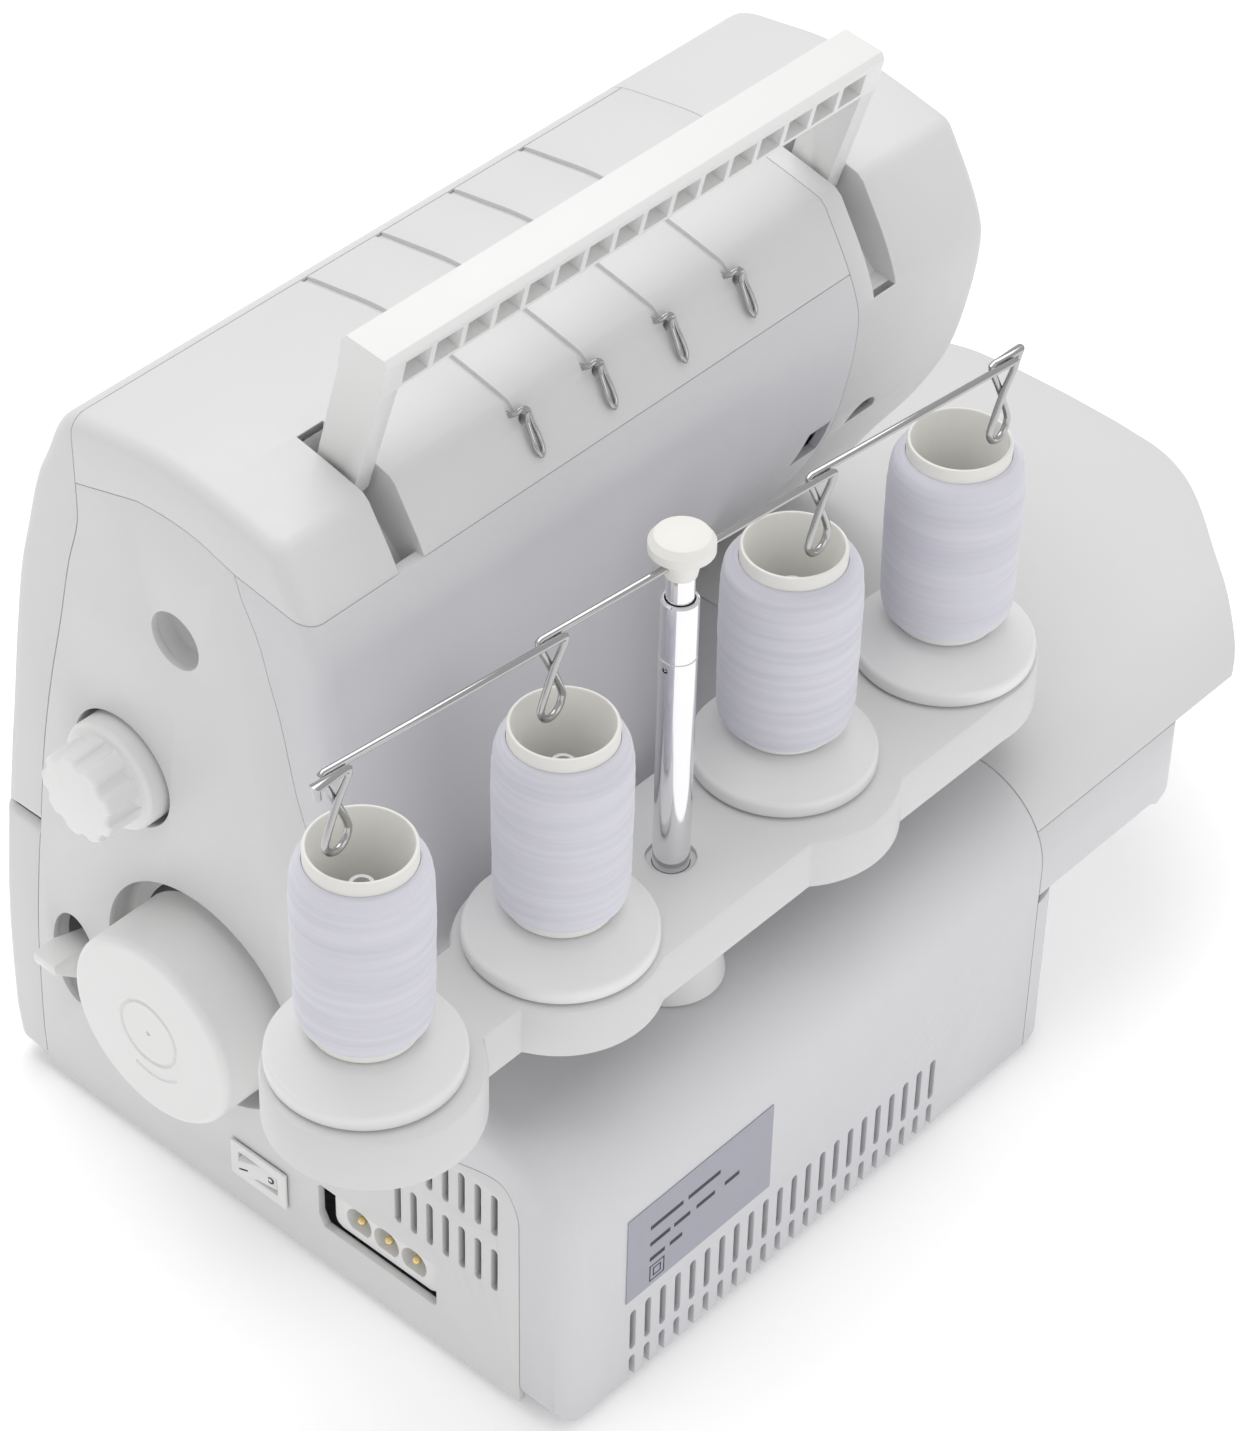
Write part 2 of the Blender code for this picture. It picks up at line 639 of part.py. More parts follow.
def left_base_cover():
    """Left end wall of the base with its rounded rear corner."""
    centre = (BODY_LEFT + LEFT_ROUND, REAR_FACE - LEFT_ROUND)
    outer = [(REAR_COVER_LEFT - HALF_GAP, REAR_FACE), *arc(centre, LEFT_ROUND, 90, 180, 6), (BODY_LEFT, -93)]
    inner = [(BODY_LEFT + WALL, -93), *arc(centre, LEFT_ROUND - WALL, 180, 90, 6),
             (REAR_COVER_LEFT - HALF_GAP, REAR_FACE - WALL)]
    return solid("left_base_cover", prism("Z", outer + inner, FOOT_HEIGHT, BED_LOWER_BOTTOM - GAP),
                 "shell_grey_white")


def round_region(name, low, high):
    """Everything inside the quarter-round rear edge."""
    rear = arc((REAR_FACE - REAR_ROUND, BED_TOP - REAR_ROUND), REAR_ROUND, 90, 0, REAR_ROUND_STEPS)
    ring = [(-130, low), (-130, BED_TOP), *rear, (REAR_FACE, low)]
    return solid(name, prism("X", ring, -280, high))


def bed_cover():
    """Cloth plate: wide top that overhangs to the left, open below, with a seat for the needle plate."""
    plate = solid("bed_cover", prism("Z", BED_OUTLINE, BED_LIP_BOTTOM, BED_TOP), "shell_white")
    keep(plate, round_region("bed_round", 40, 20))
    hollow = solid("bed_hollow", prism("Z", inset(BED_OUTLINE, WALL), BED_LIP_BOTTOM - 10, BED_TOP - WALL))
    keep(hollow, solid("bed_hollow_round", prism("X", [(-130, 40), (-130, BED_TOP - WALL), *arc(
        (REAR_FACE - REAR_ROUND, BED_TOP - REAR_ROUND), REAR_ROUND - WALL, 90, 0, REAR_ROUND_STEPS),
        (REAR_FACE - WALL, 40)], -280, 20)))
    cut(plate, hollow, solid("plate_seat", box((PLATE_X[0] - GAP, PLATE_X[1] + GAP),
                                               (PLATE_Y[0] - GAP, PLATE_Y[1] + GAP), (90, 110))))
    return plate


def bed_lower_cover():
    """Inset tray under the cloth plate."""
    bottom, top = BED_LOWER_BOTTOM, BED_LIP_BOTTOM - GAP
    tray = solid("bed_lower_cover", prism("Z", BED_LOWER_OUTLINE, bottom, top, round_low=4.0),
                 "shell_grey_white")
    keep(tray, round_region("lower_round", 40, 20))
    hollow = solid("lower_hollow", prism("Z", inset(BED_LOWER_OUTLINE, WALL), bottom + WALL, top + 10))
    keep(hollow, solid("lower_hollow_round", prism("X", [(-130, 40), (-130, BED_TOP), *arc(
        (REAR_FACE - REAR_ROUND, BED_TOP - REAR_ROUND), REAR_ROUND - WALL, 90, 0, REAR_ROUND_STEPS),
        (REAR_FACE - WALL, 40)], -280, 20)))
    cut(tray, hollow)
    return tray


def needle_plate():
    plate = solid("needle_plate", box(PLATE_X, PLATE_Y, (BED_TOP - PLATE_THICK, BED_TOP)), "steel")
    cut(plate,
        solid("needle_slot", box((NEEDLE_X - 2 * NEEDLE_SLOT, NEEDLE_X + NEEDLE_SLOT),
                                 (NEEDLE_Y - 2, NEEDLE_Y + 2), (90, 110))),
        solid("feed_slot", box((NEEDLE_X - 6, NEEDLE_X + 6), (FEED_SLOT_Y[0], FEED_SLOT_Y[1]), (90, 110))))
    return plate


def base_tray():
    """Floor of the machine with two uprights that carry the main shaft."""
    left, right, rear = BODY_LEFT + WALL + 1, BODY_RIGHT - WALL - 1, REAR_FACE - WALL - 1
    floor = ((left, -91), (right, -91), (right, rear - TRAY_CHAMFER), (right - TRAY_CHAMFER, rear),
             (left + LEFT_ROUND, rear), (left, rear - LEFT_ROUND))
    tray = solid("base_tray", prism("Z", floor, FOOT_HEIGHT, FOOT_HEIGHT + 3), "casting")
    for name, x in (("right_upright", 84.0), ("left_upright", -70.0)):
        fuse(tray, solid(name, prism("X", ((-44, 4), (-9, 4), (-15, 84.5), (-38, 84.5)), x - 4, x + 4)))
    fuse(tray, solid("motor_cradle", box((-30, 36), (50, 82), (4, MOTOR_CENTRE[1] - MOTOR_RADIUS - GAP))))
    cut(tray, solid("shaft_bore", cylinder("X", WHEEL_CENTRE, SHAFT_RADIUS + RUNNING_FIT, -90, 100)))
    return tray


def feet():
    for name, x, y in (("foot_front_right", 88, -78), ("foot_front_left", -88, -78),
                       ("foot_rear_right", 88, 88), ("foot_rear_left", -84, 86)):
        solid(name, revolve("Z", (x, y), ((0, 0), (8.4, 0), (9, 0.8), (8.6, FOOT_HEIGHT - GAP),
                                          (0, FOOT_HEIGHT - GAP)), 20), "rubber")


# Handle ---------------------------------------------------------------------------------------

def carrying_handle():
    """Bar on two arms with pivot stubs; a row of square pockets lightens its rear lower edge."""
    origin = ((HANDLE_LEFT + HANDLE_RIGHT) / 2, *HANDLE_PIVOT)
    grip = solid("carrying_handle", prism("X", HANDLE_BAR, HANDLE_LEFT, HANDLE_RIGHT), "control_white",
                 origin)
    half = HANDLE_ARM_WIDTH / 2
    for name, x, stub in (("right_arm", handle_arm_xs()[0], 1), ("left_arm", handle_arm_xs()[1], -1)):
        inner = x - stub * (half + 3)
        fuse(grip, solid(name, prism("X", HANDLE_ARM, x - half, x + half)),
             solid(f"{name}_stub", cylinder("X", HANDLE_PIVOT, HANDLE_PIN_RADIUS, min(inner, x),
                                            max(inner, x), 16)))
    span = HANDLE_RIGHT - HANDLE_LEFT - 2 * HANDLE_ARM_WIDTH
    pitch = span / HANDLE_POCKETS
    for i in range(HANDLE_POCKETS):
        low = HANDLE_LEFT + HANDLE_ARM_WIDTH + pitch * i + POCKET_WEB / 2
        cut(grip, solid(f"handle_pocket_{i + 1}", prism("X", POCKET_OUTLINE, low, low + pitch - POCKET_WEB)))
    return grip


# Drive and controls ---------------------------------------------------------------------------

def handwheel():
    rim = WHEEL_RADIUS
    profile = ((SHAFT_RADIUS + HALF_GAP, WHEEL_BACK + 2), (SHAFT_RADIUS + 4, WHEEL_BACK + 2),
               (SHAFT_RADIUS + 4, WHEEL_FACE - 2 * WHEEL_WALL),
               (rim - WHEEL_WALL, WHEEL_FACE - 2 * WHEEL_WALL),
               (rim - WHEEL_WALL, WHEEL_BACK), (rim, WHEEL_BACK), (rim, WHEEL_FACE - 2.2),
               (rim - 0.7, WHEEL_FACE - 0.7), (rim - 2.2, WHEEL_FACE), (HUB_RADIUS + 0.5, WHEEL_FACE),
               (HUB_RADIUS + 0.2, WHEEL_FACE - 0.5), (HUB_RADIUS - 0.2, WHEEL_FACE - 0.5),
               (HUB_RADIUS - 0.5, WHEEL_FACE),
               (0, WHEEL_FACE), (0, WHEEL_FACE - WHEEL_WALL),
               (SHAFT_RADIUS + HALF_GAP, WHEEL_FACE - WHEEL_WALL))
    return solid("handwheel", revolve("X", WHEEL_CENTRE, profile, FINE_SEGMENTS), "control_white",
                 (WHEEL_FACE, *WHEEL_CENTRE))


def main_shaft():
    low, high = PULLEY_X
    profile = ((0, SHAFT_LEFT), (SHAFT_RADIUS, SHAFT_LEFT), (SHAFT_RADIUS, low),
               (SHAFT_PULLEY_RADIUS + 2, low),
               (SHAFT_PULLEY_RADIUS + 2, low + BELT_INSET), (SHAFT_PULLEY_RADIUS, low + BELT_INSET),
               (SHAFT_PULLEY_RADIUS, high - BELT_INSET), (SHAFT_PULLEY_RADIUS + 2, high - BELT_INSET),
               (SHAFT_PULLEY_RADIUS + 2, high), (SHAFT_RADIUS, high),
               (SHAFT_RADIUS, WHEEL_FACE - WHEEL_WALL - GAP),
               (0, WHEEL_FACE - WHEEL_WALL - GAP))
    return solid("main_shaft", revolve("X", WHEEL_CENTRE, profile), "steel", (0, *WHEEL_CENTRE))


def motor():
    body = solid("motor", revolve("X", MOTOR_CENTRE, (
        (0, MOTOR_X[0]), (MOTOR_RADIUS - 5, MOTOR_X[0]), (MOTOR_RADIUS, MOTOR_X[0] + 5),
        (MOTOR_RADIUS, MOTOR_X[1] - 5), (MOTOR_RADIUS - 5, MOTOR_X[1]), (0, MOTOR_X[1]))), "casting")
    cut(body, solid("arbor_bore", cylinder("X", MOTOR_CENTRE, ARBOR_RADIUS + RUNNING_FIT, MOTOR_X[1] - 12,
                                           MOTOR_X[1] + 2, 16)))
    return body


def motor_pulley():
    low, high = PULLEY_X
    profile = ((0, MOTOR_X[1] - 10), (ARBOR_RADIUS, MOTOR_X[1] - 10), (ARBOR_RADIUS, low),
               (PULLEY_RADIUS + 2, low),
               (PULLEY_RADIUS + 2, low + BELT_INSET), (PULLEY_RADIUS, low + BELT_INSET),
               (PULLEY_RADIUS, high - BELT_INSET), (PULLEY_RADIUS + 2, high - BELT_INSET),
               (PULLEY_RADIUS + 2, high), (0, high))
    return solid("motor_pulley", revolve("X", MOTOR_CENTRE, profile, 24), "steel", (0, *MOTOR_CENTRE))


def belt_ring(extra):
    """Outline round both pulleys, that far outside their grooves."""
    big, small = Vector(WHEEL_CENTRE), Vector(MOTOR_CENTRE)
    gap = small - big
    heading = math.degrees(math.atan2(gap.y, gap.x))
    open_angle = math.degrees(math.acos((SHAFT_PULLEY_RADIUS - PULLEY_RADIUS) / gap.length))
    return (arc(big, SHAFT_PULLEY_RADIUS + extra, heading + open_angle, heading + 360 - open_angle, 16)
            + arc(small, PULLEY_RADIUS + extra, heading - open_angle, heading + open_angle, 10))


def drive_belt():
    low, high = PULLEY_X[0] + BELT_INSET + GAP, PULLEY_X[1] - BELT_INSET - GAP
    belt = solid("drive_belt", prism("X", belt_ring(RUNNING_FIT + BELT_THICK), low, high), "rubber")
    cut(belt, solid("belt_inside", prism("X", belt_ring(RUNNING_FIT), low - 1, high + 1)))
    return belt


def stitch_length_knob():
    """Plain drum with a ribbed grip in front."""
    ribs = 4 * KNOB_RIBS

    def lobed(radius, depth):
        points = []
        for i in range(ribs):
            angle = math.tau * i / ribs
            wave = max(0.0, math.cos(KNOB_RIBS * angle)) ** 0.5
            points.append((KNOB_CENTRE[0] + (radius - depth * wave) * math.cos(angle),
                           KNOB_CENTRE[1] + (radius - depth * wave) * math.sin(angle)))
        return points
    stations = ((KNOB_BACK, lobed(KNOB_RADIUS, 0)), (KNOB_SHOULDER - 1, lobed(KNOB_RADIUS, 0)),
                (KNOB_SHOULDER, lobed(KNOB_RADIUS - 1, 0)),
                (KNOB_SHOULDER + 0.1, lobed(KNOB_GRIP_RADIUS, 0)),
                (KNOB_SHOULDER + 1.4, lobed(KNOB_GRIP_RADIUS, KNOB_RIB_DEPTH)),
                (KNOB_FACE - 0.8, lobed(KNOB_GRIP_RADIUS, KNOB_RIB_DEPTH)),
                (KNOB_FACE, lobed(KNOB_GRIP_RADIUS - 0.8, KNOB_RIB_DEPTH)))
    return solid("stitch_length_knob", loft("X", stations), "control_white", (KNOB_BACK, *KNOB_CENTRE))


def differential_lever():
    half = LEVER_THICK / 2
    y = LEVER_CENTRE[0]
    return solid("differential_lever", prism("Y", LEVER_OUTLINE, y - half, y + half), "control_white",
                 (LEVER_PIVOT_X, *LEVER_CENTRE))


def switch_frame():
    (y0, y1), (z0, z1) = SWITCH_Y, SWITCH_Z
    rim = SWITCH_RIM + GAP
    flange = solid("switch_frame", box((BODY_RIGHT + GAP, BODY_RIGHT + SWITCH_PROUD), SWITCH_Y, SWITCH_Z),
                   "control_white")
    fuse(flange, solid("switch_barrel", box((BODY_RIGHT - SWITCH_DEPTH, BODY_RIGHT + SWITCH_PROUD / 2),
                                            (y0 + rim, y1 - rim), (z0 + rim, z1 - rim))))
    cut(flange, solid("switch_well", box((BODY_RIGHT - SWITCH_DEPTH + 2, BODY_RIGHT + 10),
                                         (y0 + rim + 1, y1 - rim - 1), (z0 + rim + 1, z1 - rim - 1))))
    return flange


def power_rocker():
    """Rocker with a concave face, tipped to one side."""
    (y0, y1), (z0, z1) = SWITCH_Y, SWITCH_Z
    rim = SWITCH_RIM + GAP + 1 + RUNNING_FIT
    middle, half = (y0 + y1) / 2, (y1 - y0) / 2 - rim - 0.5
    face = BODY_RIGHT + SWITCH_PROUD
    outline = ((ROCKER_ROOT_X, middle - 2), (face - 1.0, middle - half),
               (face + ROCKER_CROWN, middle - half + 0.6),
               (face + 0.9, middle - half * 0.4), (face - 0.2, middle), (face - 0.6, middle + half * 0.5),
               (face - 1.0, middle + half), (ROCKER_ROOT_X + 3, middle + half * 0.5),
               (ROCKER_ROOT_X, middle + 2))
    return solid("power_rocker", prism("Z", outline, z0 + rim, z1 - rim), "control_white",
                 (ROCKER_PIVOT_X, middle, (z0 + z1) / 2))


def contact_ys():
    middle = (INLET_Y[0] + INLET_Y[1]) / 2
    return middle - PIN_PITCH, middle, middle + PIN_PITCH


def power_inlet():
    """Appliance inlet with three D-shaped wells."""
    (y0, y1), (z0, z1) = INLET_Y, INLET_Z
    outline = ((y0 + 3, z0), (y1 - 3, z0), (y1 - 0.8, z0 + 1), (y1, z0 + 3), (y1, z1 - 3),
               (y1 - 0.8, z1 - 1),
               (y1 - 3, z1), (y0 + 3, z1), (y0 + 0.8, z1 - 1), (y0, z1 - 3), (y0, z0 + 3),
               (y0 + 0.8, z0 + 1))
    block = solid("power_inlet", prism("X", outline, INLET_BACK, INLET_FACE, round_high=0.8),
                  "control_white")
    height = (z0 + z1) / 2
    for i, y in enumerate(contact_ys()):
        well = [*arc((y, height), WELL_RADIUS, -50, 230, 14)]
        cut(block, solid(f"well_{i + 1}", prism("X", well, INLET_BACK + 6, INLET_FACE + 2)),
            solid(f"contact_bore_{i + 1}", cylinder("X", (y, height), CONTACT_RADIUS + GAP, INLET_BACK - 2,
                                                    INLET_FACE, 12)))
    return block


def inlet_contacts():
    """Three ball-ended contacts on one busbar behind the inlet."""
    height = (INLET_Z[0] + INLET_Z[1]) / 2
    ys = contact_ys()
    bar = solid("inlet_contacts", box((INLET_BACK - 4, INLET_BACK - GAP), (ys[0] - 3, ys[-1] + 3),
                                      (height - 3, height + 3)), "gold")
    for i, y in enumerate(ys):
        fuse(bar, solid(f"contact_{i + 1}", revolve("X", (y, height), (
            (0, INLET_BACK - 2), (CONTACT_RADIUS, INLET_BACK - 2), (CONTACT_RADIUS, CONTACT_TIP - 1),
            (0.7, CONTACT_TIP - 0.2), (0, CONTACT_TIP)), 12)))
    return bar


def rating_label():
    return solid("rating_label", box(LABEL_X, (REAR_FACE + 0.05, REAR_FACE + 0.05 + LABEL_THICK), LABEL_Z),
                 "label_silver")


# Thread stand ---------------------------------------------------------------------------------

def stand_outline(shrink=0.0):
    """Union of the lobes and of the bars between them, traced as a front and a rear edge."""
    low_end = min(x - radius for x, _, radius in LOBES)
    high_end = max(x + radius for x, _, radius in LOBES)
    middle, half = (low_end + high_end) / 2, (high_end - low_end) / 2
    xs = {x + radius * math.cos(math.pi * i / LOBE_STEPS) for x, _,
          radius in LOBES for i in range(LOBE_STEPS + 1)}
    spots = [low_end]
    for x in sorted(xs):
        if x - spots[-1] > LOBE_SPACING:
            spots.append(x)
    spots[-1] = high_end
    front, rear = [], []
    for spot in spots:
        x = middle + (spot - middle) * (half - shrink) / half
        edges = [(low + shrink, high - shrink) for x0, x1, low, high in STAND_BARS if x0 <= x <= x1]
        for cx, y, radius in LOBES:
            if abs(x - cx) <= radius - shrink + GAP * MM:
                span = math.sqrt(max((radius - shrink) ** 2 - (x - cx) ** 2, 0.0))
                edges.append((y - span, y + span))
        front.append((x, min(edge[0] for edge in edges)))
        rear.append((x, max(edge[1] for edge in edges)))
    return front[:-1] + list(reversed(rear[1:]))


def spool_stand():
    """Hollow tray with four spool pins, a mast boss and a pedestal that sits on the rear cover."""
    rings = ((STAND_BOTTOM, 0.0), (STAND_TOP - STAND_EDGE, 0.0),
             (STAND_TOP - 0.3 * STAND_EDGE, 0.3 * STAND_EDGE),
             (STAND_TOP, STAND_EDGE))
    stand = solid("spool_stand", loft("Z", [(z, stand_outline(shrink)) for z, shrink in rings]),
                  "shell_white")
    hollow = solid("stand_hollow",
                   prism("Z", stand_outline(STAND_WALL), STAND_BOTTOM - 10, STAND_TOP - STAND_WALL))
    cut(stand, hollow)
    fuse(stand, solid("pedestal", revolve("Z", MAST, (
        (0, BED_TOP + GAP), (PEDESTAL_RADIUS + 1, BED_TOP + GAP), (PEDESTAL_RADIUS, BED_TOP + 6),
        (PEDESTAL_RADIUS, STAND_TOP - 1), (0, STAND_TOP - 1)), SEGMENTS)))
    for i, spot in enumerate(SPOOL_PINS):
        fuse(stand, solid(f"spool_pin_{i + 1}", revolve("Z", spot, (
            (0, STAND_TOP - 2), (PIN_RADIUS + 0.6, STAND_TOP - 2), (PIN_RADIUS, PIN_TOP - 2),
            (PIN_RADIUS - 0.8, PIN_TOP),
            (PIN_RADIUS - 1.8, PIN_TOP), (PIN_RADIUS - 1.8, PIN_TOP - 12), (0, PIN_TOP - 12)), 10)))
    cut(stand, solid("mast_bore", cylinder("Z", MAST, MAST_RADIUS + HALF_GAP, BED_TOP + 10, STAND_TOP + 10)),
        solid("mast_countersink", cylinder("Z", MAST, MAST_RADIUS + 1.9, STAND_TOP - 1.4, STAND_TOP + 10)))
    return stand


def mast_tube():
    profile = ((SLEEVE_RADIUS + HALF_GAP, BED_TOP + 10 + GAP), (MAST_RADIUS, BED_TOP + 10 + GAP),
               (MAST_RADIUS, 209.4),
               (MAST_RADIUS - 0.25, 209.6), (MAST_RADIUS - 0.25, 210.2), (MAST_RADIUS, 210.4),
               (MAST_RADIUS, MAST_TOP - 0.5),
               (MAST_RADIUS - 0.5, MAST_TOP), (SLEEVE_RADIUS + HALF_GAP, MAST_TOP))
    tube = solid("mast_tube", revolve("Z", MAST, profile, SEGMENTS), "chrome")
    cut(tube, solid("mast_hole", cylinder("X", (MAST[1], MAST_HOLE_Z), 0.9, MAST[0], MAST[0] + 10, 12)))
    return tube


def mast_sleeve():
    profile = ((0, BED_TOP + 14), (SLEEVE_RADIUS - HALF_GAP, BED_TOP + 14),
               (SLEEVE_RADIUS - HALF_GAP, MAST_TOP + 7.4),
               (0, MAST_TOP + 7.4))
    return solid("mast_sleeve", revolve("Z", MAST, profile, 24), "chrome", (*MAST, BED_TOP))


def mast_cap():
    profile = ((0, MAST_TOP + 7.7), (4.2, MAST_TOP + 7.7), (4.6, MAST_TOP + 10), (5.6, MAST_TOP + 13),
               (CAP_RADIUS, MAST_TOP + 15.4),
               (CAP_RADIUS, MAST_TOP + 18), (CAP_RADIUS - 1.4, CAP_TOP - 1), (CAP_RADIUS - 4, CAP_TOP),
               (0, CAP_TOP))
    cap = solid("mast_cap", revolve("Z", MAST, profile, SEGMENTS), "cream_plastic", (*MAST, CAP_TOP))
    lane = -HOOK_OFFSET / 2
    bore = sweep([guide_point(-20, 0, lane), guide_point(20, 0, lane)], GUIDE_RADIUS + 0.25, 12)
    cut(cap, solid("guide_bore", bore))
    return cap


def guide_point(along, drop, across):
    """Point in the guide bar's own frame, turned about the mast by the bar's tilt."""
    direction = Vector((math.cos(GUIDE_TILT), -math.sin(GUIDE_TILT), 0))
    normal = Vector((math.sin(GUIDE_TILT), math.cos(GUIDE_TILT), 0))
    return Vector((*MAST, GUIDE_Z - drop)) + direction * along + normal * across


def thread_guide_bar():
    """One bent wire across the mast with four teardrop hooks."""
    lean, half = HOOK_OFFSET / 2, HOOK_HALF
    path = [guide_point(HOOK_REACH[0] - half - 3, 2.4, -lean),
            guide_point(HOOK_REACH[0] - half - 2.2, 0, -lean)]
    for at in HOOK_REACH:
        path.append(guide_point(at + half, 0, -lean))
        path.append(guide_point(at + half + 0.6, 1.8, -lean))
        path.append(guide_point(at, HOOK_CROSS, -lean))
        for i in range(9):
            angle = math.pi * i / 8
            path.append(guide_point(at - half * math.cos(angle), HOOK_DROP - half + half * math.sin(angle),
                                    -lean + HOOK_OFFSET * i / 8))
        path.append(guide_point(at, HOOK_CROSS, lean))
        path.append(guide_point(at - half - 0.6, 1.8, lean))
        path.append(guide_point(at - half, 0, lean))
        if at != HOOK_REACH[-1]:
            path.append(guide_point(at + half + 8, 0, lean))
            path.append(guide_point(at + half + 14, 0, -lean))
    path.append(guide_point(HOOK_REACH[-1] + half + 2, 0, lean))
    path.append(guide_point(HOOK_REACH[-1] + half + 3, 2.4, lean))
    return solid("thread_guide_bar", sweep(path, GUIDE_RADIUS), "chrome", (*MAST, GUIDE_Z))


def cones():
    for i, (spot, radius) in enumerate(zip(SPOOL_PINS, WINDING_RADII)):
        bore = PIN_RADIUS + 0.6 + RUNNING_FIT
        number = i + 1
        solid(f"cone_holder_{number}", revolve("Z", spot, (
            (bore, HOLDER_FOOT), (HOLDER_RADIUS - 0.6, HOLDER_FOOT), (HOLDER_RADIUS, HOLDER_FOOT + 0.8),
            (HOLDER_RADIUS, HOLDER_FOOT + HOLDER_RIM - 1.2), (HOLDER_RADIUS - 1.2, HOLDER_FOOT + HOLDER_RIM),
            (TUBE_OUTER + 3.2, HOLDER_NECK - 1), (TUBE_OUTER + 1, HOLDER_NECK),
            (HOLDER_HUB_RADIUS, HOLDER_NECK),
            (HOLDER_HUB_RADIUS - 1, HOLDER_HUB_TOP), (bore, HOLDER_HUB_TOP))), "control_white",
            (*spot, STAND_TOP))
        solid(f"spool_tube_{number}", revolve("Z", spot, (
            (TUBE_INNER, TUBE_BOTTOM), (TUBE_OUTER, TUBE_BOTTOM), (TUBE_OUTER, TUBE_TOP - 0.6),
            (TUBE_OUTER - 0.5, TUBE_TOP),
            (TUBE_INNER + 0.3, TUBE_TOP), (TUBE_INNER, TUBE_TOP - 0.4))), "cream_plastic",
            (*spot, STAND_TOP))
        inner = TUBE_OUTER + HALF_GAP
        solid(f"thread_winding_{number}", revolve("Z", spot, (
            (inner, WINDING_BOTTOM), (radius - 1.4, WINDING_BOTTOM), (radius - 0.4, WINDING_BOTTOM + 2),
            (radius, WINDING_BOTTOM + 14), (radius, WINDING_TOP - WINDING_SHOULDER - 4),
            (radius - 0.8, WINDING_TOP - WINDING_SHOULDER), (inner + 1, WINDING_TOP), (inner, WINDING_TOP))),
            "thread", (*spot, STAND_TOP))


def top_guides():
    """Twisted wire loops that hang over the rear edge, one by each groove."""
    for i, x in enumerate(GROOVE_XS):
        x -= GROOVE_WIDTH
        path = [(x, 9, 247.2), (x, 15.6, 247.2), (x + 1.4, 17.4, 248.4), (x + 2.4, 18.2, 247.4),
                (x + 1.6, 18.6, 244),
                (x - 1.4, 20.6, 240.4), (x - 2.8, 22.4, 236.4), (x - 2.4, 23.4, 233), (x - 0.4, 23.8, 232),
                (x + 1.4, 23.4, 234), (x + 0.8, 22.8, 238), (x - 1.6, 22.4, 242)]
        solid(f"top_thread_guide_{i + 1}", sweep(path, 0.7), "chrome")


# Sewing head ----------------------------------------------------------------------------------

def dial_xs():
    return [x + 40.0 for x in GROOVE_XS]


def tension_dials():
    for i, x in enumerate(dial_xs()):
        dial = revolve("X", (DIAL_Y + 2, DIAL_Z),
                       ((0, x - 3.6), (DIAL_RADIUS - 0.8, x - 3.6), (DIAL_RADIUS, x - 2.6),
                                                   (DIAL_RADIUS, x + 2.6), (DIAL_RADIUS - 0.8, x + 3.6),
                                                   (0, x + 3.6)), 24)
        solid(f"tension_dial_{i + 1}", dial, "control_white", (x, DIAL_Y + 2, DIAL_Z))


def needle_bar():
    spot = (NEEDLE_X, NEEDLE_Y)
    bar = solid("needle_bar", revolve("Z", spot, ((0, 124), (BAR_RADIUS, 124), (BAR_RADIUS, NEEDLE_BAR_TOP),
                                                  (0, NEEDLE_BAR_TOP)), 16), "steel", (*spot, 124))
    fuse(bar, solid("needle_clamp",
                    box((NEEDLE_X - 4.4, NEEDLE_X + 4.4), (NEEDLE_Y - 5, NEEDLE_Y + 5), (118, 128))))
    for name, x in (("left_needle", NEEDLE_X - NEEDLE_PITCH / 2),
                    ("right_needle", NEEDLE_X + NEEDLE_PITCH / 2)):
        fuse(bar, solid(name, revolve("Z", (x, NEEDLE_Y),
                                      ((0, 101), (NEEDLE_RADIUS, 105), (NEEDLE_RADIUS, 120), (0, 120)), 8)))
    return bar


def presser_bar():
    spot = (NEEDLE_X, PRESSER_Y)
    bar = solid("presser_bar", revolve("Z", spot,
                                       ((0, 106), (BAR_RADIUS, 106), (BAR_RADIUS, 214), (0, 214)), 16),
                "steel", (*spot, 106))
    foot = prism("X", ((-72, 102.6), (-69, 100.4), (-38, 100.4), (-36, 103), (-38, 110), (-46, 110),
                       (-49, 103.6),
                       (-70, 103.6)), NEEDLE_X - 9, NEEDLE_X + 9)
    shoe = solid("presser_shoe", foot)
    cut(shoe, solid("foot_slot", box((NEEDLE_X - 5, NEEDLE_X + 5), (NEEDLE_Y - 6, NEEDLE_Y + 6), (99, 106))))
    fuse(bar, shoe)
    return bar


def loopers():
    solid("lower_looper", sweep(((-112, -70, 68), (-112, -70, 78), (-114, -69, 86), (-120, -66, 91),
                                 (-128, -63, 92.5)),
                                1.3), "steel", (-112, -70, 68))
    solid("upper_looper", sweep(((-100, -52, 68), (-101, -54, 80), (-104, -57, 88), (-110, -61, 93),
                                 (-117, -65, 95.2)),
                                1.2), "steel", (-100, -52, 68))


def knife_and_feed():
    solid("lower_knife", box((-97, -95.4), (-56, -47), (84, 97)), "steel", (-96, -60, 90))
    feed = solid("feed_dog", box((NEEDLE_X - 4.6, NEEDLE_X + 4.6), (-45, -39), (84, 98.6)), "steel",
                 (NEEDLE_X, -42, 84))
    return feed


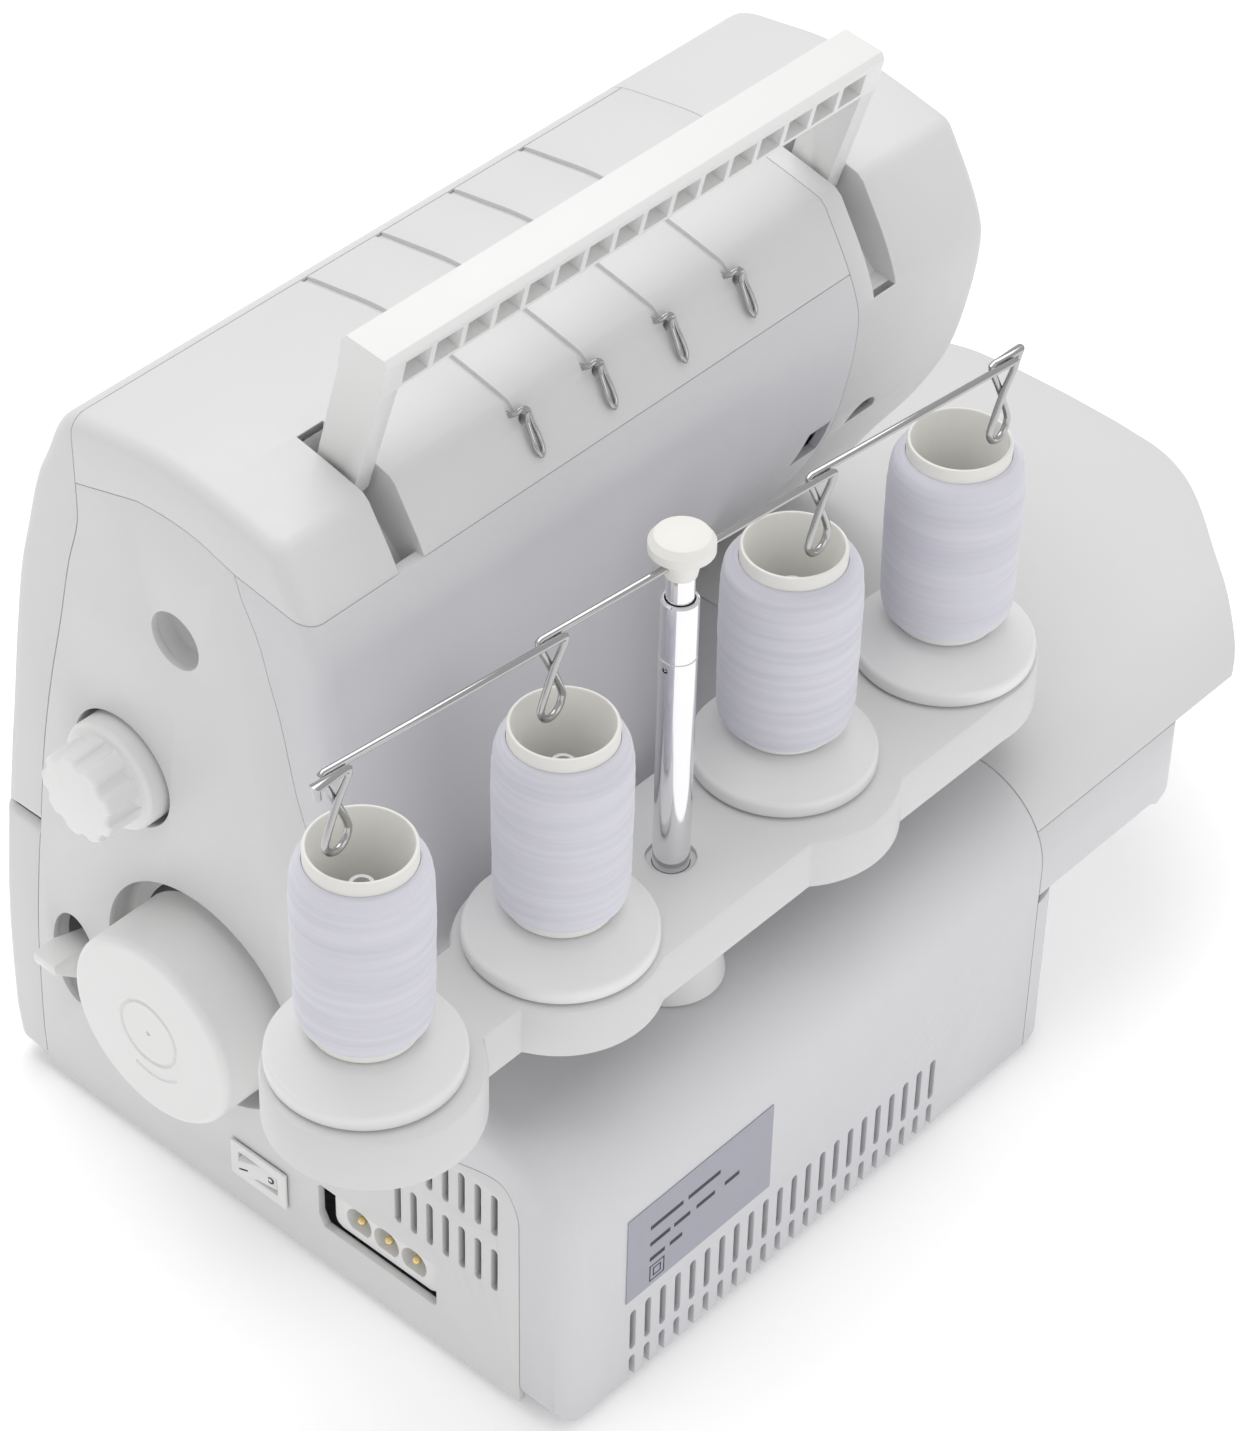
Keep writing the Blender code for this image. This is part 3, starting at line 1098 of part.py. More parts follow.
def build():
    clear_scene()
    for make in (base_tray, feet, right_side_cover, rear_cover, rear_body_cover, top_cover, arm_end_cover,
                 front_cover, looper_door, left_base_cover, bed_cover, bed_lower_cover, needle_plate,
                 carrying_handle, handwheel, main_shaft, motor, motor_pulley, drive_belt, stitch_length_knob,
                 differential_lever, switch_frame, power_rocker, power_inlet, inlet_contacts,
                 rating_label, spool_stand, mast_tube, mast_sleeve, mast_cap, thread_guide_bar, cones,
                 top_guides,
                 tension_dials, needle_bar, presser_bar, loopers, knife_and_feed):
        make()
    bpy.context.view_layer.update()


build()
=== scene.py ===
"""Looks of the serger overlock machine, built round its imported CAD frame.

Outlines and sizes are in millimetres, as in the CAD source; solid() scales each mesh to metres.
"""

import json
import math

import bmesh
import bpy
from mathutils import Matrix, Vector

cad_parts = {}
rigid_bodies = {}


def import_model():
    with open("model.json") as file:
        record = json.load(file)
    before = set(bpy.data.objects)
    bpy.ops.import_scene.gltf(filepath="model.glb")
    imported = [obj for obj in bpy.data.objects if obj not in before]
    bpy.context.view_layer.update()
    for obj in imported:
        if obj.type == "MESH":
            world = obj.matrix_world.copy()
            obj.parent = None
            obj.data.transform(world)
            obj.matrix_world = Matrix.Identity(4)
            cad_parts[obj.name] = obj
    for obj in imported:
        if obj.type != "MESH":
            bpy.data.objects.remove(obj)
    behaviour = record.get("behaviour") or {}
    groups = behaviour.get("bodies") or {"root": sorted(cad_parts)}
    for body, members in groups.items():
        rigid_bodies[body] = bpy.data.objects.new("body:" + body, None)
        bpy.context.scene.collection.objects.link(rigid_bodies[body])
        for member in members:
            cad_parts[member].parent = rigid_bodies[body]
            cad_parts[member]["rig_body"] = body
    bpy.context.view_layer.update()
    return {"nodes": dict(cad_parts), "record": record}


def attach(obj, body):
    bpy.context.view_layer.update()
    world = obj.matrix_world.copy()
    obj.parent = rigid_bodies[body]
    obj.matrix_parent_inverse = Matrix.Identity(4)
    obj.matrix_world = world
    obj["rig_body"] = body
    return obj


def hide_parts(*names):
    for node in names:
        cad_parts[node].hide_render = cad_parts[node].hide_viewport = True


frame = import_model()

MM = 0.001

# Fits
GAP = 0.3
HALF_GAP = GAP / 2
RUNNING_FIT = 0.4
WALL = 2.5
OVERCUT = 30.0

# Overall sizes
BODY_RIGHT = 108.0
BODY_LEFT = -108.0
REAR_COVER_LEFT = -91.0
ARM_SPLIT = -97.5
ARM_LEFT = -154.0
COLUMN_LEFT = -14.0
ARM_BLEND = 44.0
BLEND_STEPS = 14
FOOT_HEIGHT = 3.0
BED_TOP = 100.0
REAR_FACE = 108.0
END_ROUND = 5.0
ROUND_STEPS = 6

# (y, z) outlines shared by the covers
FRONT_CURVE = ((-100, 125), (-97.5, 141), (-93, 171.5), (-89, 194), (-85.2, 208), (-79.4, 228),
               (-74.7, 238), (-69.9, 248.6), (-66.4, 252.8), (-62.4, 254.8))
TOP_CURVE = ((-51, 256.8), (-36.4, 258.7), (-22.3, 258.5), (-8.5, 256.2), (4.4, 253.4), (9.2, 252.2),
             (11.2, 250.4))
REAR_COMMON = ((20.4, 234.4), (24.7, 222.8))
COLUMN_FRONT_FOOT = (-103.5, 100.3)
ARM_FRONT_FOOT = (-101.9, 112)
COLUMN_REAR = ((25.2, 214), (27.2, 197.7), (29.6, 178.4), (32.8, 158), (37, 140), (43.4, 123.5), (58, 100.3))
ARM_REAR = ((24.8, 214), (22.4, 197.7), (17.4, 178.4), (7.2, 158), (-5.5, 139), (-18.5, 120), (-30, 112))
FRONT_SEAM = ((-94.2, 3), (-94.6, 17), (-94.2, 37), (-93, 61), (-90.2, 86), (-88.2, 100), (-84.5, 127),
              (-81.7, 143), (-77.4, 163), (-72.4, 183), (-67, 206.5), (-62.4, 222), (-62, 234.5))
TOP_SEAM = ((-45, 239.5), (-37.7, 241.4), (-20, 241.2), (-4.6, 237))
REAR_SEAM = ((-2.3, 230), (2.8, 220), (6.4, 208), (9.5, 198), (16.5, 168.6), (26, 150), (36, 128), (47, 106),
             (66, 80), (83.2, 84.3),
             (86.7, 83.2), (90.2, 78.2), (91.6, 73.5), (92.2, 3))
BASE_FRONT = ((-103, 3), (-107, 8), (-108.4, 19), (-108.4, 35), (-108, 52), (-107, 68), (-105.2, 84),
              (-103.5, 100))
TOP_PANEL_FRONT = (-62.4, 280)
TOP_PANEL_REAR = (40, 230)

# Grooves over the top and their guides
GROOVE_XS = (26.0, -1.5, -29.0, -56.5)
GROOVE_WIDTH = 2.6
GROOVE_DEPTH = 1.4
GROOVE_FRONT = -66.0
TOP_GUIDE_RADIUS = 0.75

# Carrying handle
HANDLE_LEFT = -112.0
HANDLE_RIGHT = 75.0
HANDLE_PIVOT = (-4.0, 248.0)
HANDLE_BAR = ((-0.2, 284.4), (1.4, 294.2), (3.2, 296), (15.8, 294.6), (16.8, 292.6), (14.4, 282.6))
HANDLE_ARM = ((-9.6, 249), (-0.2, 284.6), (14.4, 282.8), (3.4, 246.6), (0.6, 242.8), (-5.4, 241.8),
              (-9, 244.4))
HANDLE_ARM_WIDTH = 6.0
HANDLE_POCKETS = 16
POCKET_WEB = 1.9
POCKET_OUTLINE = ((5.4, 285.2), (19, 283.1), (19.6, 290.6), (14.6, 291.2), (13.4, 288), (6.4, 288.8))
ARM_POCKET = ((-14, 262), (-13, 240), (4, 236), (17, 224), (36, 222), (36, 262))
ARM_POCKET_CLEAR = 1.6
CUP_OUTLINE = ((-15.2, 262), (-14.2, 238.8), (4, 234.8), (16.2, 222.6), (36, 220.6), (36, 262))
CUP_WALL = 1.2
HANDLE_PIN_RADIUS = 2.6

# Right-hand controls
WHEEL_CENTRE = (-26.5, 76.5)
WHEEL_RADIUS = 29.6
WHEEL_FACE = 127.5
WHEEL_BACK = 102.0
WHEEL_WALL = 3.0
WHEEL_CLEAR = 6.4
HUB_RADIUS = 10.5
SHAFT_RADIUS = 5.0
KNOB_CENTRE = (-52.0, 144.0)
KNOB_RADIUS = 16.4
KNOB_CLEAR = 1.6
KNOB_GRIP_RADIUS = 13.4
KNOB_RIBS = 9
KNOB_RIB_DEPTH = 1.5
KNOB_FACE = 125.0
KNOB_SHOULDER = 113.5
KNOB_BACK = 96.0
LEVER_CENTRE = (-78.0, 56.0)
LEVER_HALF_WIDTH = 9.0
LEVER_HALF_HEIGHT = 17.0
LEVER_OUTLINE = ((84, 52), (84, 60), (101, 61), (112, 64.5), (119.6, 64), (119.6, 60.6), (110, 52.5),
                 (101, 51))
LEVER_THICK = 9.0
SIDE_HOLE_CENTRE = (-28.0, 202.0)
SIDE_HOLE_RADIUS = 8.6

# Dished cups behind the openings of the right wall
WELL_WALL = 1.2
WELL_ROUND = 2.5
WELL_STEPS = 8
WELL_CLEAR = 0.15
WHEEL_WELL_DEPTH = 6.5
KNOB_WELL_DEPTH = 9.0
SIDE_HOLE_DEPTH = 7.0
BOWL_DEPTH = 9.5
BOWL_CLOSE = 6.0

# Power entry
SWITCH_Y = (-16.6, 5.0)
SWITCH_Z = (15.3, 28.7)
SWITCH_RIM = 2.0
SWITCH_PROUD = 1.3
SWITCH_DEPTH = 14.0
ROCKER_CROWN = 2.2
ROCKER_ROOT_X = 99.0
SOCKET_Y = (16.8, 61.4)
SOCKET_Z = (18.0, 34.0)
INLET_Y = (20.6, 60.2)
INLET_Z = (19.0, 32.6)
INLET_FACE = 105.6
INLET_BACK = 84.0
WELL_RADIUS = 4.7
PIN_PITCH = 10.4
CONTACT_RADIUS = 1.3
CONTACT_STEM = 0.9
CONTACT_BALL = 1.35

# Vent slots
VENT_WIDTH = 2.4
SIDE_VENT_PITCH = 5.9
SIDE_VENT_LAST_Y = 82.8
SIDE_VENT_COUNT = 7
SIDE_VENT_ROWS = ((41.3, 57.1), (62.8, 77.8))
REAR_VENT_PITCH = 6.06
REAR_VENT_FIRST_X = 80.5
REAR_VENT_COUNT = 22
REAR_VENT_ROWS = ((14.4, 29.7), (-2.0, 11.6))

# Label
LABEL_X = (25.3, 83.8)
LABEL_Z = (35.0, 67.0)
LABEL_THICK = 0.25
LABEL_GAP = 0.05
# Rows of bars: height over the lower edge, then (from, to) measured from the label's left end as seen
LABEL_BARS = ((22.0, ((9, 22), (24, 37))), (15.6, ((9, 17), (18.5, 25), (27.5, 35), (39, 45))),
              (9.6, ((9, 15), (17, 22))))
BAR_HEIGHT = 1.5
SQUARE_LEFT = 15.0
SQUARE_BOTTOM = 1.6
SQUARES = ((0.0, 6.0), (1.4, 4.6))
SQUARE_LINE = 0.45
PRINT_REACH = (-0.02, 0.03)

# Bed
BED_OUTLINE = ((-16, -100), (-108, -100), (-160, -91), (-222, -62), (-235, -52), (-241, -38), (-241, 31),
               (-236, 46), (-228, 58), (-211, 77), (-196, 94), (-187, 103), (-176, 108), (-91.3, 108),
               (-91.3, -30.3), (-16, -30.3))
BED_LIP_BOTTOM = 86.0
BED_LOWER_OUTLINE = ((-108, -60), (-160, -58), (-168, -50), (-169, -40), (-169, 84), (-165, 97), (-156, 105),
                     (-145, 108), (-91.3, 108), (-91.3, -60))
BED_LOWER_BOTTOM = 60.6
REAR_ROUND = 26.0
REAR_ROUND_STEPS = 20
PLATE_X = (-138.0, -98.0)
PLATE_Y = (-78.0, -34.0)
LEFT_ROUND = 17.0

# Thread stand
STAND_TOP = 140.0
STAND_BOTTOM = 124.6
STAND_WALL = 2.6
STAND_EDGE = 1.8
LOBE_STEPS = 40
LOBE_SPACING = 0.3
LOBES = ((137.4, 69.5, 28.6), (72.7, 72.4, 28.0), (-16.8, 75.2, 29.2), (-82.7, 70.6, 28.4))
STAND_BARS = ((72.7, 137.4, 54.0, 83.5), (-16.8, 72.7, 48.0, 97.4), (-82.7, -16.8, 47.0, 98.8))
SPOOL_PINS = ((137.7, 67.3), (72.7, 73.0), (-18.8, 69.4), (-82.7, 72.7))
PIN_RADIUS = 4.0
PIN_TOP = 200.0
MAST = (31.0, 73.7)
MAST_RADIUS = 5.0
MAST_TOP = 228.0
MAST_HOLE_Z = 207.0
PEDESTAL_RADIUS = 14.6
SLEEVE_RADIUS = 3.9
CAP_TOP = MAST_TOP + 21.0
CAP_RADIUS = 8.6
GUIDE_Z = MAST_TOP + 12.0
GUIDE_RADIUS = 1.0
GUIDE_TILT = math.radians(3.7)
HOOK_REACH = (-118.5, -49.8, 44.0, 113.8)
HOOK_HALF = 5.0
HOOK_DROP = 25.0
HOOK_CROSS = 9.0
HOOK_OFFSET = 2.6
HOOK_NECK = 0.62
HOOK_BULGE = 0.86

# Cones
HOLDER_RADIUS = 25.6
HOLDER_FOOT = 140.6
HOLDER_RIM = 5.0
HOLDER_NECK = 152.5
HOLDER_HUB_TOP = 166.0
HOLDER_HUB_RADIUS = 10.5
TUBE_OUTER = 14.2
TUBE_INNER = 13.0
TUBE_BOTTOM = 153.2
TUBE_TOP = 213.0
WINDING_RADII = (17.6, 17.7, 18.6, 18.4)
WINDING_BOTTOM = 156.5
WINDING_TOP = 209.0
WINDING_SHOULDER = 2.5

# Sewing head
NEEDLE_X = -118.0
NEEDLE_Y = -58.0
PRESSER_Y = -42.0
DIAL_RADIUS = 11.0
DIAL_Z = 186.0
DIAL_Y = -96.0

SEGMENTS = 72
FINE_SEGMENTS = 144
WIRE_SEGMENTS = 14

SEAM_STEPS = 4

# CAD parts shown as they are, with the finish of each
DRESSED = {
    "base_tray": "casting", "foot_front_right": "rubber", "foot_front_left": "rubber",
    "foot_rear_right": "rubber", "foot_rear_left": "rubber", "needle_plate": "steel",
    "motor": "casting", "drive_belt": "rubber", "main_shaft": "steel", "motor_pulley": "steel",
    "needle_bar": "steel", "presser_bar": "steel", "lower_looper": "steel", "upper_looper": "steel",
    "lower_knife": "steel", "feed_dog": "steel", "mast_sleeve": "chrome",
}
DRESSED_EDGE = 0.3

# Rounding of the sharp edges; a piece that isn't listed takes EDGE
EDGE = 0.4
EDGES = {
    "handwheel": 0.0, "thread_guide_bar": 0.0, "rating_label": 0.0, "spool_stand": 0.0,
    "mast_tube": 0.0, "inlet_contacts": 0.0, "carrying_handle": 0.7, "differential_lever": 1.0,
    "power_rocker": 0.4, "switch_frame": 0.35, "stitch_length_knob": 0.5,
}
ROUND_PARTS = ("thread_winding", "tension_dial", "top_thread", "cone_holder", "spool_tube")

# Camera and light
CAMERA_SPOT = (0.67879, 0.61950, 0.93210)
CAMERA_AZIMUTH = 131.042
CAMERA_ELEVATION = 41.283
CAMERA_ROLL = 1.446
SENSOR = 36.0
FOCAL = 111.834
WORLD_STRENGTH = 0.64
TOP_POWER = 18.0
SIDE_POWER = 0.8
REAR_POWER = 4.0
FLOOR_GLOW = 0.22


def spline(points, steps):
    """Smooth curve through the points without overshoot, with that many steps in each span."""
    first = tuple(2 * a - b for a, b in zip(points[0], points[1]))
    last = tuple(2 * a - b for a, b in zip(points[-1], points[-2]))
    ends = [Vector(p) for p in (first, *points, last)]
    curve = []
    for p0, p1, p2, p3 in zip(ends, ends[1:], ends[2:], ends[3:]):
        t0, t1 = 0.0, (p1 - p0).length ** 0.5
        t2 = t1 + (p2 - p1).length ** 0.5
        t3 = t2 + (p3 - p2).length ** 0.5
        for i in range(steps):
            t = t1 + (t2 - t1) * i / steps
            a1 = p0 * ((t1 - t) / (t1 - t0)) + p1 * ((t - t0) / (t1 - t0))
            a2 = p1 * ((t2 - t) / (t2 - t1)) + p2 * ((t - t1) / (t2 - t1))
            a3 = p2 * ((t3 - t) / (t3 - t2)) + p3 * ((t - t2) / (t3 - t2))
            b1 = a1 * ((t2 - t) / (t2 - t0)) + a2 * ((t - t0) / (t2 - t0))
            b2 = a2 * ((t3 - t) / (t3 - t1)) + a3 * ((t - t1) / (t3 - t1))
            curve.append(tuple(b1 * ((t2 - t) / (t2 - t1)) + b2 * ((t - t1) / (t2 - t1))))
    curve.append(tuple(points[-1]))
    return curve


FRONT_SEAM = spline(FRONT_SEAM, SEAM_STEPS)
TOP_SEAM = spline(TOP_SEAM, SEAM_STEPS)
COLUMN_SEAM = spline(REAR_SEAM[:9], SEAM_STEPS)
BASE_SEAM = spline(REAR_SEAM[8:13], SEAM_STEPS)
REAR_SEAM = [*COLUMN_SEAM, *BASE_SEAM[1:], REAR_SEAM[13]]
BED_OUTLINE = [BED_OUTLINE[0], *spline(BED_OUTLINE[1:13], SEAM_STEPS), *BED_OUTLINE[13:]]
BED_LOWER_OUTLINE = [BED_LOWER_OUTLINE[0], *spline(BED_LOWER_OUTLINE[1:8], SEAM_STEPS),
                     *BED_LOWER_OUTLINE[8:]]

# Materials --------------------------------------------------------------------------------------

def node(tree, kind, inputs=(), **settings):
    made = tree.nodes.new(kind)
    for key, value in settings.items():
        setattr(made, key, value)
    for key, value in dict(inputs).items():
        made.inputs[key].default_value = value
    return made


def blank(name):
    mat = bpy.data.materials.new(name)
    mat.use_nodes = True
    return mat, mat.node_tree, mat.node_tree.nodes["Principled BSDF"]


def link(tree, source, output, target, socket):
    tree.links.new(source.outputs[output], target.inputs[socket])


def plastic(name, colour, roughness, grain=0.00004, mottle=0.02):
    """Moulded plastic: fine spark-eroded grain, slow waviness, slight handling marks in the gloss."""
    mat, tree, shader = blank(name)
    shader.inputs["Roughness"].default_value = roughness
    shader.inputs["Specular IOR Level"].default_value = 0.35
    coords = node(tree, "ShaderNodeTexCoord")
    fine = node(tree, "ShaderNodeTexNoise", {"Scale": 1400.0, "Detail": 3.0, "Roughness": 0.6})
    slow = node(tree, "ShaderNodeTexNoise", {"Scale": 22.0, "Detail": 4.0, "Roughness": 0.55})
    wear = node(tree, "ShaderNodeTexNoise", {"Scale": 160.0, "Detail": 6.0, "Roughness": 0.7})
    for texture in (fine, slow, wear):
        link(tree, coords, "Object", texture, "Vector")
    tint = node(tree, "ShaderNodeMix", data_type="RGBA")
    low = [c * (1.0 - mottle) for c in colour]
    tint.inputs["A"].default_value = (*low, 1.0)
    tint.inputs["B"].default_value = (*colour, 1.0)
    link(tree, slow, "Fac", tint, "Factor")
    link(tree, tint, "Result", shader, "Base Color")
    gloss = node(tree, "ShaderNodeMapRange", {"From Min": 0.3, "From Max": 0.7, "To Min": roughness - 0.06,
                                              "To Max": roughness + 0.08})
    link(tree, wear, "Fac", gloss, "Value")
    link(tree, gloss, "Result", shader, "Roughness")
    bump = node(tree, "ShaderNodeBump", {"Strength": 0.35, "Distance": grain})
    link(tree, fine, "Fac", bump, "Height")
    wave = node(tree, "ShaderNodeBump", {"Strength": 0.25, "Distance": 0.0004})
    link(tree, slow, "Fac", wave, "Height")
    link(tree, bump, "Normal", wave, "Normal")
    link(tree, wave, "Normal", shader, "Normal")
    return mat


def metal(name, colour, roughness, scratch=900.0):
    """Plated or ground metal with fine drawn scratches in its gloss."""
    mat, tree, shader = blank(name)
    shader.inputs["Base Color"].default_value = (*colour, 1.0)
    shader.inputs["Metallic"].default_value = 1.0
    coords = node(tree, "ShaderNodeTexCoord")
    stretch = node(tree, "ShaderNodeMapping", {"Scale": (1.0, 1.0, 0.06)})
    lines = node(tree, "ShaderNodeTexNoise", {"Scale": scratch, "Detail": 4.0, "Roughness": 0.7})
    link(tree, coords, "Object", stretch, "Vector")
    link(tree, stretch, "Vector", lines, "Vector")
    gloss = node(tree, "ShaderNodeMapRange", {"From Min": 0.3, "From Max": 0.7, "To Min": roughness * 0.7,
                                              "To Max": roughness * 1.5})
    link(tree, lines, "Fac", gloss, "Value")
    link(tree, gloss, "Result", shader, "Roughness")
    bump = node(tree, "ShaderNodeBump", {"Strength": 0.12, "Distance": 0.00003})
    link(tree, lines, "Fac", bump, "Height")
    link(tree, bump, "Normal", shader, "Normal")
    return mat


def thread_material():
    """Wound polyester: crossing helical strands, soft sheen, uneven bands."""
    mat, tree, shader = blank("wound_thread")
    shader.inputs["Roughness"].default_value = 0.75
    shader.inputs["Sheen Weight"].default_value = 0.35
    shader.inputs["Sheen Roughness"].default_value = 0.4
    shader.inputs["Subsurface Weight"].default_value = 0.1
    shader.inputs["Subsurface Scale"].default_value = 0.002
    coords = node(tree, "ShaderNodeTexCoord")
    heights = []
    for turn, scale in ((0.035, 1250.0), (-0.03, 1130.0)):
        tilt = node(tree, "ShaderNodeMapping", {"Rotation": (turn, turn * 0.6, 0.0)})
        link(tree, coords, "Object", tilt, "Vector")
        wave = node(tree, "ShaderNodeTexWave", {"Scale": scale, "Distortion": 2.2, "Detail": 2.0,
                                                "Detail Scale": 0.4}, bands_direction="Z")
        link(tree, tilt, "Vector", wave, "Vector")
        heights.append(wave)
    bands = node(tree, "ShaderNodeTexNoise", {"Scale": 70.0, "Detail": 5.0, "Roughness": 0.6})
    squeeze = node(tree, "ShaderNodeMapping", {"Scale": (0.2, 0.2, 5.0), "Rotation": (0.07, 0.05, 0.0)})
    link(tree, coords, "Object", squeeze, "Vector")
    link(tree, squeeze, "Vector", bands, "Vector")
    both = node(tree, "ShaderNodeMath", operation="MAXIMUM")
    link(tree, heights[0], "Fac", both, 0)
    link(tree, heights[1], "Fac", both, 1)
    tint = node(tree, "ShaderNodeMix", data_type="RGBA")
    tint.inputs["A"].default_value = (0.60, 0.595, 0.665, 1.0)
    tint.inputs["B"].default_value = (0.68, 0.675, 0.74, 1.0)
    spread = node(tree, "ShaderNodeMapRange", {"From Min": 0.3, "From Max": 0.6})
    link(tree, bands, "Fac", spread, "Value")
    link(tree, spread, "Result", tint, "Factor")
    link(tree, tint, "Result", shader, "Base Color")
    strands = node(tree, "ShaderNodeBump", {"Strength": 0.3, "Distance": 0.00005})
    link(tree, both, "Value", strands, "Height")
    uneven = node(tree, "ShaderNodeBump", {"Strength": 0.35, "Distance": 0.00025})
    link(tree, bands, "Fac", uneven, "Height")
    link(tree, strands, "Normal", uneven, "Normal")
    link(tree, uneven, "Normal", shader, "Normal")
    return mat


LOOKS = {
    "shell_white": lambda: plastic("white_abs", (0.70, 0.70, 0.698), 0.42),
    "shell_grey_white": lambda: plastic("grey_white_abs", (0.665, 0.665, 0.688), 0.45),
    "control_white": lambda: plastic("control_abs", (0.82, 0.82, 0.815), 0.38, 0.00002),
    "cream_plastic": lambda: plastic("cream_pp", (0.83, 0.82, 0.785), 0.5, 0.00003),
    "thread": thread_material,
    "chrome": lambda: metal("chrome_plate", (0.83, 0.83, 0.85), 0.09),
    "wire": lambda: metal("bright_wire", (0.46, 0.46, 0.46), 0.14),
    "steel": lambda: metal("ground_steel", (0.56, 0.56, 0.57), 0.3),
    "gold": lambda: metal("gold_plate", (0.86, 0.66, 0.30), 0.22),
    "casting": lambda: metal("cast_alloy", (0.42, 0.43, 0.45), 0.55, 300.0),
    "rubber": lambda: plastic("black_rubber", (0.035, 0.035, 0.037), 0.8, 0.00006),
    "label_silver": lambda: plastic("label_foil", (0.37, 0.372, 0.43), 0.38, 0.00001),
    "dark_plastic": lambda: plastic("ink", (0.035, 0.035, 0.05), 0.5, 0.00001),
    # darker grey than the shell: painted shade for the back of the arm-window recess
    "recess_grey": lambda: plastic("recess_shade", (0.60, 0.60, 0.60), 0.5),
}
MADE = {}
FINISH_OF = {}


def material(name):
    if name not in MADE:
        MADE[name] = LOOKS[name]()
        FINISH_OF[MADE[name].name] = name
    return MADE[name]


def solid(name, bm, finish=None):
    """Turns a closed bmesh in millimetres into an object in metres; without a finish it is a cutter."""
    bmesh.ops.recalc_face_normals(bm, faces=bm.faces)
    for vert in bm.verts:
        vert.co *= MM
    mesh = bpy.data.meshes.new(name)
    bm.to_mesh(mesh)
    bm.free()
    obj = bpy.data.objects.new(name, mesh)
    bpy.context.scene.collection.objects.link(obj)
    if finish:
        mesh.materials.append(material(finish))
    return obj


def settle(obj):
    """Applies the modifiers of obj to its mesh."""
    bpy.context.view_layer.update()
    graph = bpy.context.evaluated_depsgraph_get()
    mesh = bpy.data.meshes.new_from_object(obj.evaluated_get(graph))
    obj.modifiers.clear()
    obj.data = mesh
    return obj


def boolean(target, operation, *cutters):
    for cutter in cutters:
        step = target.modifiers.new(operation.lower(), "BOOLEAN")
        step.operation = operation
        step.solver = "EXACT"
        step.material_mode = "TRANSFER" if cutter.data.materials else "INDEX"
        step.object = cutter
    settle(target)
    for cutter in cutters:
        bpy.data.objects.remove(cutter)


def cut(target, *cutters):
    boolean(target, "DIFFERENCE", *cutters)


def keep(target, *regions):
    boolean(target, "INTERSECT", *regions)


def fuse(target, *others):
    boolean(target, "UNION", *others)


def soften(obj, width):
    """Small rounding on every sharp edge, then smooth shading between the remaining creases."""
    bm = bmesh.new()
    bm.from_mesh(obj.data)
    bmesh.ops.remove_doubles(bm, verts=bm.verts, dist=1e-6)
    bmesh.ops.dissolve_limit(bm, angle_limit=math.radians(0.3), verts=bm.verts, edges=bm.edges)
    bm.to_mesh(obj.data)
    bm.free()
    step = obj.modifiers.new("edges", "BEVEL")
    step.width = width * MM
    step.segments = 2
    step.limit_method = "ANGLE"
    step.angle_limit = math.radians(35.0)
    step.use_clamp_overlap = True
    step.harden_normals = False
    settle(obj)
    smooth(obj)


def smooth(obj, crease=32.0):
    obj.data.shade_smooth()
    obj.data.set_sharp_from_angle(angle=math.radians(crease))


def show(obj, body, finish, *nodes):
    """The piece rides on its CAD body and stands for the CAD nodes; the finish argument is not used."""
    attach(obj, body)
    if nodes:
        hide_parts(*nodes)


def place(axis, u, v, w):
    """Point whose coordinate along axis is w; u and v are the other two in X, Y, Z order."""
    return {"X": (w, u, v), "Y": (u, w, v), "Z": (u, v, w)}[axis]


def loft(axis, stations, round_low=0.0, round_high=0.0):
    """Closed solid through rings of equal point count; its two end rims can be rounded."""
    bm = bmesh.new()
    rings = [[bm.verts.new(place(axis, u, v, w)) for u, v in ring] for w, ring in stations]
    count = len(rings[0])
    for low, high in zip(rings, rings[1:]):
        for i in range(count):
            j = (i + 1) % count
            bm.faces.new((low[i], low[j], high[j], high[i]))
    caps = [bm.faces.new(rings[0]), bm.faces.new(rings[-1])]
    for cap, radius in zip(caps, (round_low, round_high)):
        if radius:
            bmesh.ops.bevel(bm, geom=list(cap.edges), offset=radius, segments=ROUND_STEPS, profile=0.5,
                            affect="EDGES", clamp_overlap=True)
    return bm


def prism(axis, outline, low, high, **rounding):
    return loft(axis, ((low, outline), (high, outline)), **rounding)


def box(x, y, z):
    return prism("X", ((y[0], z[0]), (y[1], z[0]), (y[1], z[1]), (y[0], z[1])), x[0], x[1])


def circle(centre, radius, count=SEGMENTS):
    step = math.tau / count
    return [(centre[0] + radius * math.cos(i * step), centre[1] + radius * math.sin(i * step))
            for i in range(count)]


def arc(centre, radius, start, end, count):
    angles = [math.radians(start + (end - start) * i / count) for i in range(count + 1)]
    return [(centre[0] + radius * math.cos(a), centre[1] + radius * math.sin(a)) for a in angles]


def cylinder(axis, centre, radius, low, high, count=SEGMENTS):
    return prism(axis, circle(centre, radius, count), low, high)


def revolve(axis, centre, profile, count=SEGMENTS):
    """Solid of revolution of a closed (radius, height) profile; a zero radius lies on the axis."""
    bm = bmesh.new()
    step = math.tau / count
    rings = []
    for radius, height in profile:
        spots = count if radius > 0 else 1
        rings.append([bm.verts.new(place(axis, centre[0] + radius * math.cos(i * step),
                                         centre[1] + radius * math.sin(i * step), height))
                      for i in range(spots)])
    for low, high in zip(rings, rings[1:] + rings[:1]):
        for i in range(count):
            corners = []
            for ring, at in ((low, i), (low, i + 1), (high, i + 1), (high, i)):
                vert = ring[at % len(ring)]
                if vert not in corners:
                    corners.append(vert)
            if len(corners) > 2:
                bm.faces.new(corners)
    return bm


